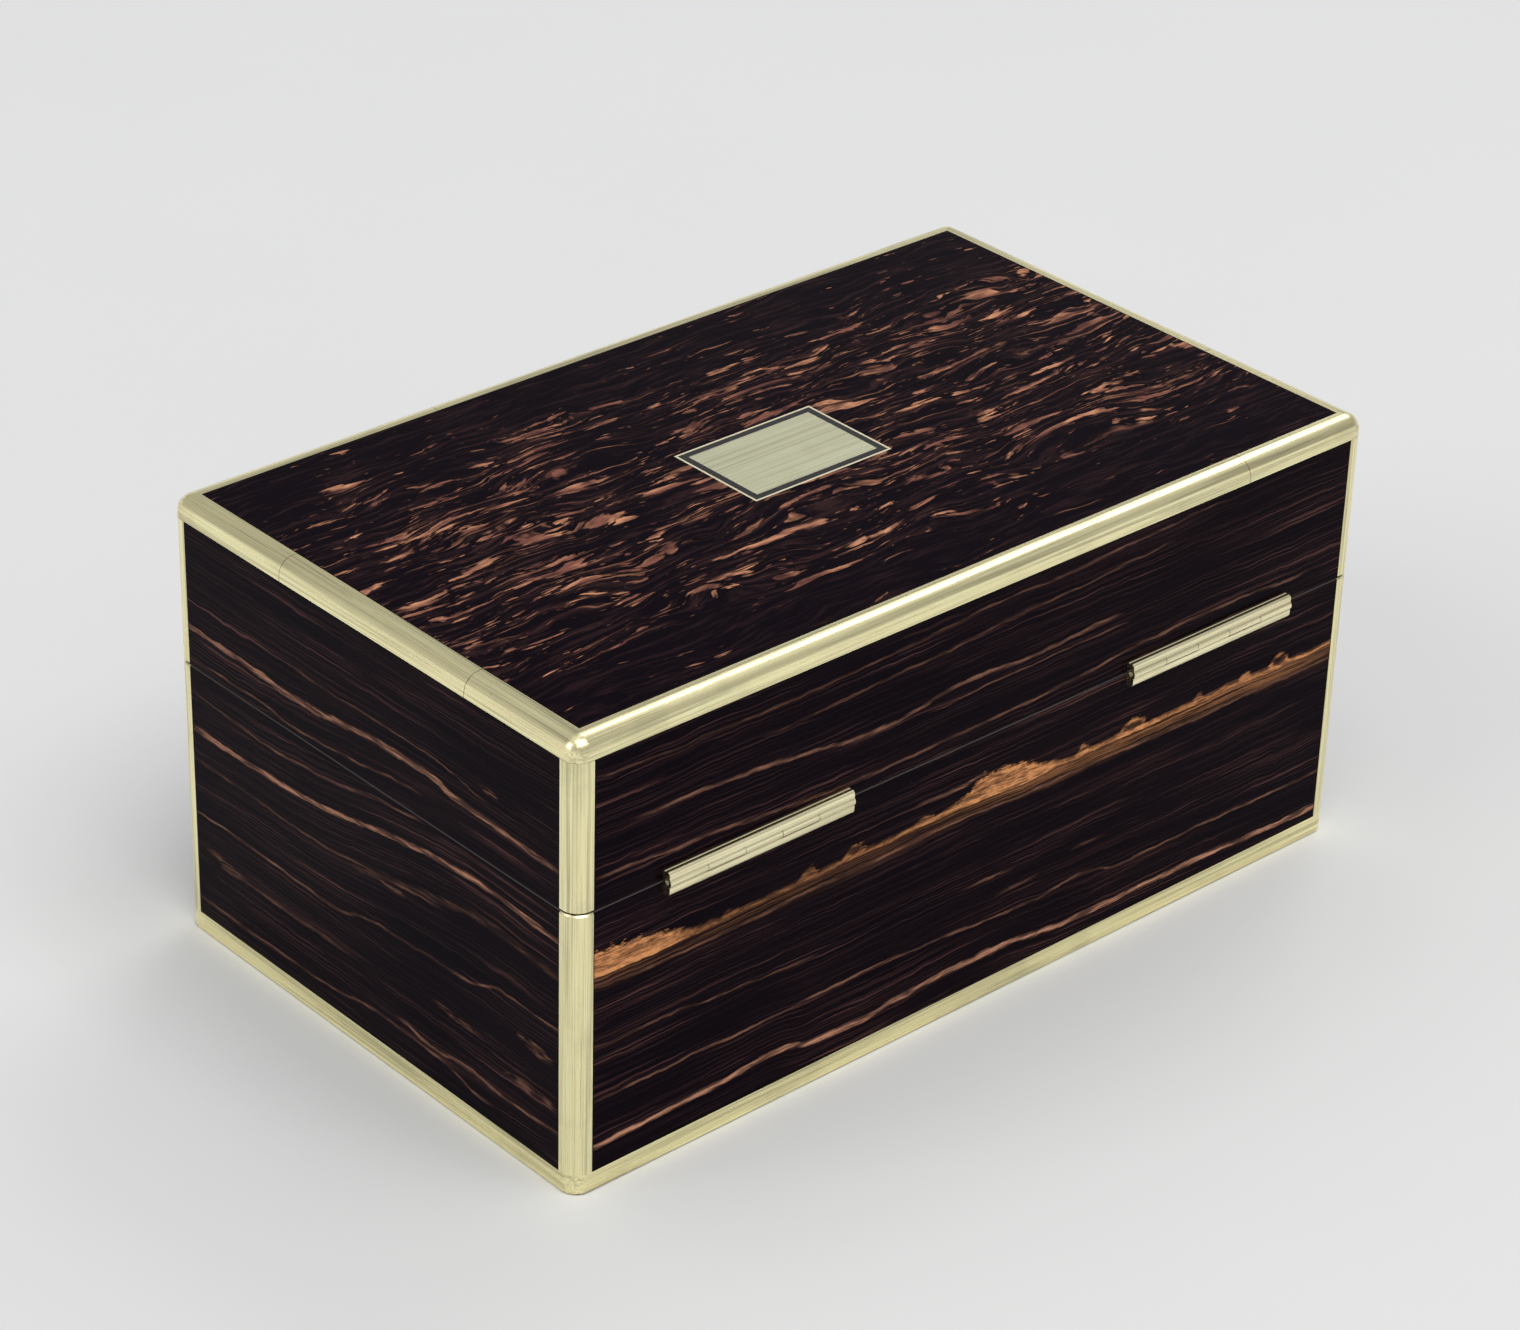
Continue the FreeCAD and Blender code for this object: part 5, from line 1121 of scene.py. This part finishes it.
class BOX_OT_lift_tabs(bpy.types.Operator):
    """Make the folded ribbon tabs that lift the tray"""

    bl_idname = "jewelry_box.lift_tabs"
    bl_label = "Ribbon tabs"

    def execute(self, context):
        silk = ribbed_silk("tab_silk", context.scene.box_linings.ribbon)
        for side, (low, high) in zip(("left", "right"), solids("tray_lift_tabs")):
            tab = new_piece(f"tray_lift_ribbon_{side}", self.folded(low, high), silk, "tray")
            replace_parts(tab, "tray_lift_tabs")
        return {"FINISHED"}

    @staticmethod
    def folded(low, high):
        """One length of ribbon folded over at the top: two layers with a round fold."""
        shape = bmesh.new()
        layer = 0.00022
        middle, outer = (low.x + high.x) / 2, (high.x - low.x) / 2
        inner = outer - layer
        profile = []
        for reach, way in ((outer, 1), (inner, -1)):
            side = [(middle - way * reach, low.z + part * (high.z - outer - low.z) / 6) for part in range(6)]
            bend = [(middle - way * reach * math.cos(math.radians(angle)),
                     high.z - outer + reach * math.sin(math.radians(angle))) for angle in range(0, 181, 20)]
            down = [(middle + way * reach, low.z + part * (high.z - outer - low.z) / 6)
                    for part in range(5, -1, -1)]
            profile += side + bend + down
        columns = 10
        rings = []
        for column in range(columns + 1):
            y = low.y + (high.y - low.y) * column / columns
            wave = 0.00008 * math.sin(column * 1.1)
            rings.append([shape.verts.new((x + wave * (z - low.z) / (high.z - low.z), y, z))
                          for x, z in profile])
        count = len(profile)
        join_rings(shape, rings, rings[1:])
        for ring in (rings[0], rings[-1]):
            half = count // 2
            for part in range(half - 1):
                shape.faces.new((ring[part], ring[part + 1], ring[count - 2 - part], ring[count - 1 - part]))
        return shape


class BOX_OT_baize(bpy.types.Operator):
    """Make the felted baize glued under the bottom"""

    bl_idname = "jewelry_box.baize"
    bl_label = "Underside baize"

    def execute(self, context):
        low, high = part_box("underside_baize")
        shape = bmesh.new()
        verts = rounded_block(shape, low, high, (high.z - low.z) * 0.45, 0.006)
        for vert in verts:
            if vert.co.z < (low.z + high.z) / 2:
                vert.co.z += 0.00012 * (1 + noise.noise(vert.co / 0.009))
        felt = felted_baize("green_baize", context.scene.box_linings.baize)
        sheet = new_piece("underside_baize_felt", shape, felt, "base")
        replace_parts(sheet, "underside_baize")
        return {"FINISHED"}


class BOX_OT_stage(bpy.types.Operator):
    """Set up the pale floor, the soft lamps, the room and the camera"""

    bl_idname = "jewelry_box.stage"
    bl_label = "Studio"

    def execute(self, context):
        studio = context.scene.box_studio
        self.make_floor(studio)
        self.make_room(studio)
        self.lamp("key_lamp", (0.45, 3.0, 6.3), LAMP_AIM, (5.6, 4.2), studio.key_power)
        self.lamp("end_fill_lamp", (5.7, -1.5, 3.9), LAMP_AIM, (3.6, 3.6), studio.fill_power)
        self.lamp("front_lamp", (-5.1, -2.1, 5.7), LAMP_AIM, (3.6, 3.6), studio.fill_power)
        self.make_camera(studio)
        context.scene.view_settings.view_transform = "Standard"
        return {"FINISHED"}

    @staticmethod
    def make_floor(studio):
        shape = bmesh.new()
        bmesh.ops.create_grid(shape, x_segments=8, y_segments=8, size=FLOOR_HALF_SIZE)
        mesh = bpy.data.meshes.new("floor")
        shape.to_mesh(mesh)
        shape.free()
        floor = bpy.data.objects.new("floor", mesh)
        bpy.context.scene.collection.objects.link(floor)
        floor.location.z = CAD_BOX[0].z - 0.0001
        paint = Paint("pale_floor", roughness=0.85, specular_ior_level=0.1)
        mottle = paint.noise(paint.x / 160, paint.y / 160, 0.0, detail=3)
        pale = studio.floor_colour
        darker, paler = [part * 0.985 for part in pale], [part * 1.01 for part in pale]
        paint.feed(base_color=paint.mix(mottle, darker, paler))
        mesh.materials.append(paint.material)

    @staticmethod
    def make_room(studio):
        """A room that sheds even light. Mirrors show it pale low down and overhead, darker between."""
        world = bpy.data.worlds.new("studio_room")
        bpy.context.scene.world = world
        world.use_nodes = True
        tree = world.node_tree

        def link(kind, sockets, output=0, **settings):
            made = tree.nodes.new(kind)
            for name, value in settings.items():
                setattr(made, name, value)
            for socket, value in sockets.items():
                if isinstance(value, bpy.types.NodeSocket):
                    tree.links.new(value, made.inputs[socket])
                else:
                    made.inputs[socket].default_value = value
            return made.outputs[output]

        direction = link("ShaderNodeTexCoord", {})
        height = link("ShaderNodeSeparateXYZ", {0: direction}, output=2)
        shown = link("ShaderNodeValToRGB", {0: height})
        ramp = shown.node.color_ramp
        ramp.interpolation = "EASE"
        for place, level in ROOM_LEVELS[1:-1]:
            ramp.elements.new(place)
        for stop, (place, level) in zip(ramp.elements, ROOM_LEVELS):
            stop.position, stop.color = place, (level, level, level * 1.01, 1.0)
        rays = tree.nodes.new("ShaderNodeLightPath").outputs
        seen = link("ShaderNodeMath", {0: rays["Is Camera Ray"], 1: rays["Is Glossy Ray"]},
                    operation="MAXIMUM")
        seen = link("ShaderNodeMath", {0: seen, 1: rays["Is Transmission Ray"]}, operation="MAXIMUM")
        light = [studio.world_strength * part for part in (0.99, 1.0, 1.03)]
        colour = link("ShaderNodeMix", {0: seen, 6: (*light, 1.0), 7: shown}, output=2, data_type="RGBA")
        tree.links.new(colour, tree.nodes["Background"].inputs["Color"])

    @staticmethod
    def lamp(name, place, aim, size, power):
        data = bpy.data.lights.new(name, "AREA")
        data.shape, (data.size, data.size_y), data.energy = "RECTANGLE", size, power
        lamp = bpy.data.objects.new(name, data)
        bpy.context.scene.collection.objects.link(lamp)
        lamp.location = place
        lamp.rotation_mode = "QUATERNION"
        lamp.rotation_quaternion = (Vector(aim) - Vector(place)).to_track_quat("-Z", "Y")

    @staticmethod
    def make_camera(studio):
        data = bpy.data.cameras.new("camera")
        data.lens, data.sensor_width = studio.camera_lens, 36.0
        camera = bpy.data.objects.new("camera", data)
        bpy.context.scene.collection.objects.link(camera)
        place = Vector(studio.camera_place)
        back = (place - Vector(studio.camera_aim)).normalized()
        right = (-back).cross(Vector((0, 0, 1))).normalized()
        up = back.cross(right)
        turned_right = right * math.cos(studio.camera_roll) + up * math.sin(studio.camera_roll)
        turned_up = up * math.cos(studio.camera_roll) - right * math.sin(studio.camera_roll)
        turn = Matrix((turned_right, turned_up, back)).transposed().to_4x4()
        camera.matrix_world = Matrix.Translation(place) @ turn
        bpy.context.scene.camera = camera


OPERATORS = (BOX_OT_veneers, BOX_OT_edging, BOX_OT_plate, BOX_OT_hardware, BOX_OT_woods, BOX_OT_lid_pad,
             BOX_OT_well, BOX_OT_tray, BOX_OT_ring_rolls, BOX_OT_lift_tabs, BOX_OT_baize, BOX_OT_stage)
SETTINGS = {"box_finishes": FinishSettings, "box_linings": LiningSettings, "box_studio": StudioSettings}


class BOX_PT_panel(bpy.types.Panel):
    """Lists the settings and the makers of the jewelry box"""

    bl_idname = "BOX_PT_panel"
    bl_label = "Travel Jewelry Box"
    bl_space_type = "VIEW_3D"
    bl_region_type = "UI"
    bl_category = "Jewelry Box"

    def draw(self, context):
        for settings, group in SETTINGS.items():
            column = self.layout.column()
            for name in group.__annotations__:
                column.prop(getattr(context.scene, settings), name)
        for operator in OPERATORS:
            self.layout.operator(operator.bl_idname)


def register():
    for group in SETTINGS.values():
        bpy.utils.register_class(group)
    for name, group in SETTINGS.items():
        setattr(bpy.types.Scene, name, PointerProperty(type=group))
    for operator in OPERATORS:
        bpy.utils.register_class(operator)
    bpy.utils.register_class(BOX_PT_panel)


def unregister():
    bpy.utils.unregister_class(BOX_PT_panel)
    for operator in reversed(OPERATORS):
        bpy.utils.unregister_class(operator)
    for name in SETTINGS:
        delattr(bpy.types.Scene, name)
    for group in SETTINGS.values():
        bpy.utils.unregister_class(group)


def main():
    register()
    for operator in OPERATORS:
        area, action = operator.bl_idname.split(".")
        getattr(getattr(bpy.ops, area), action)()


if __name__ == "__main__":
    main()
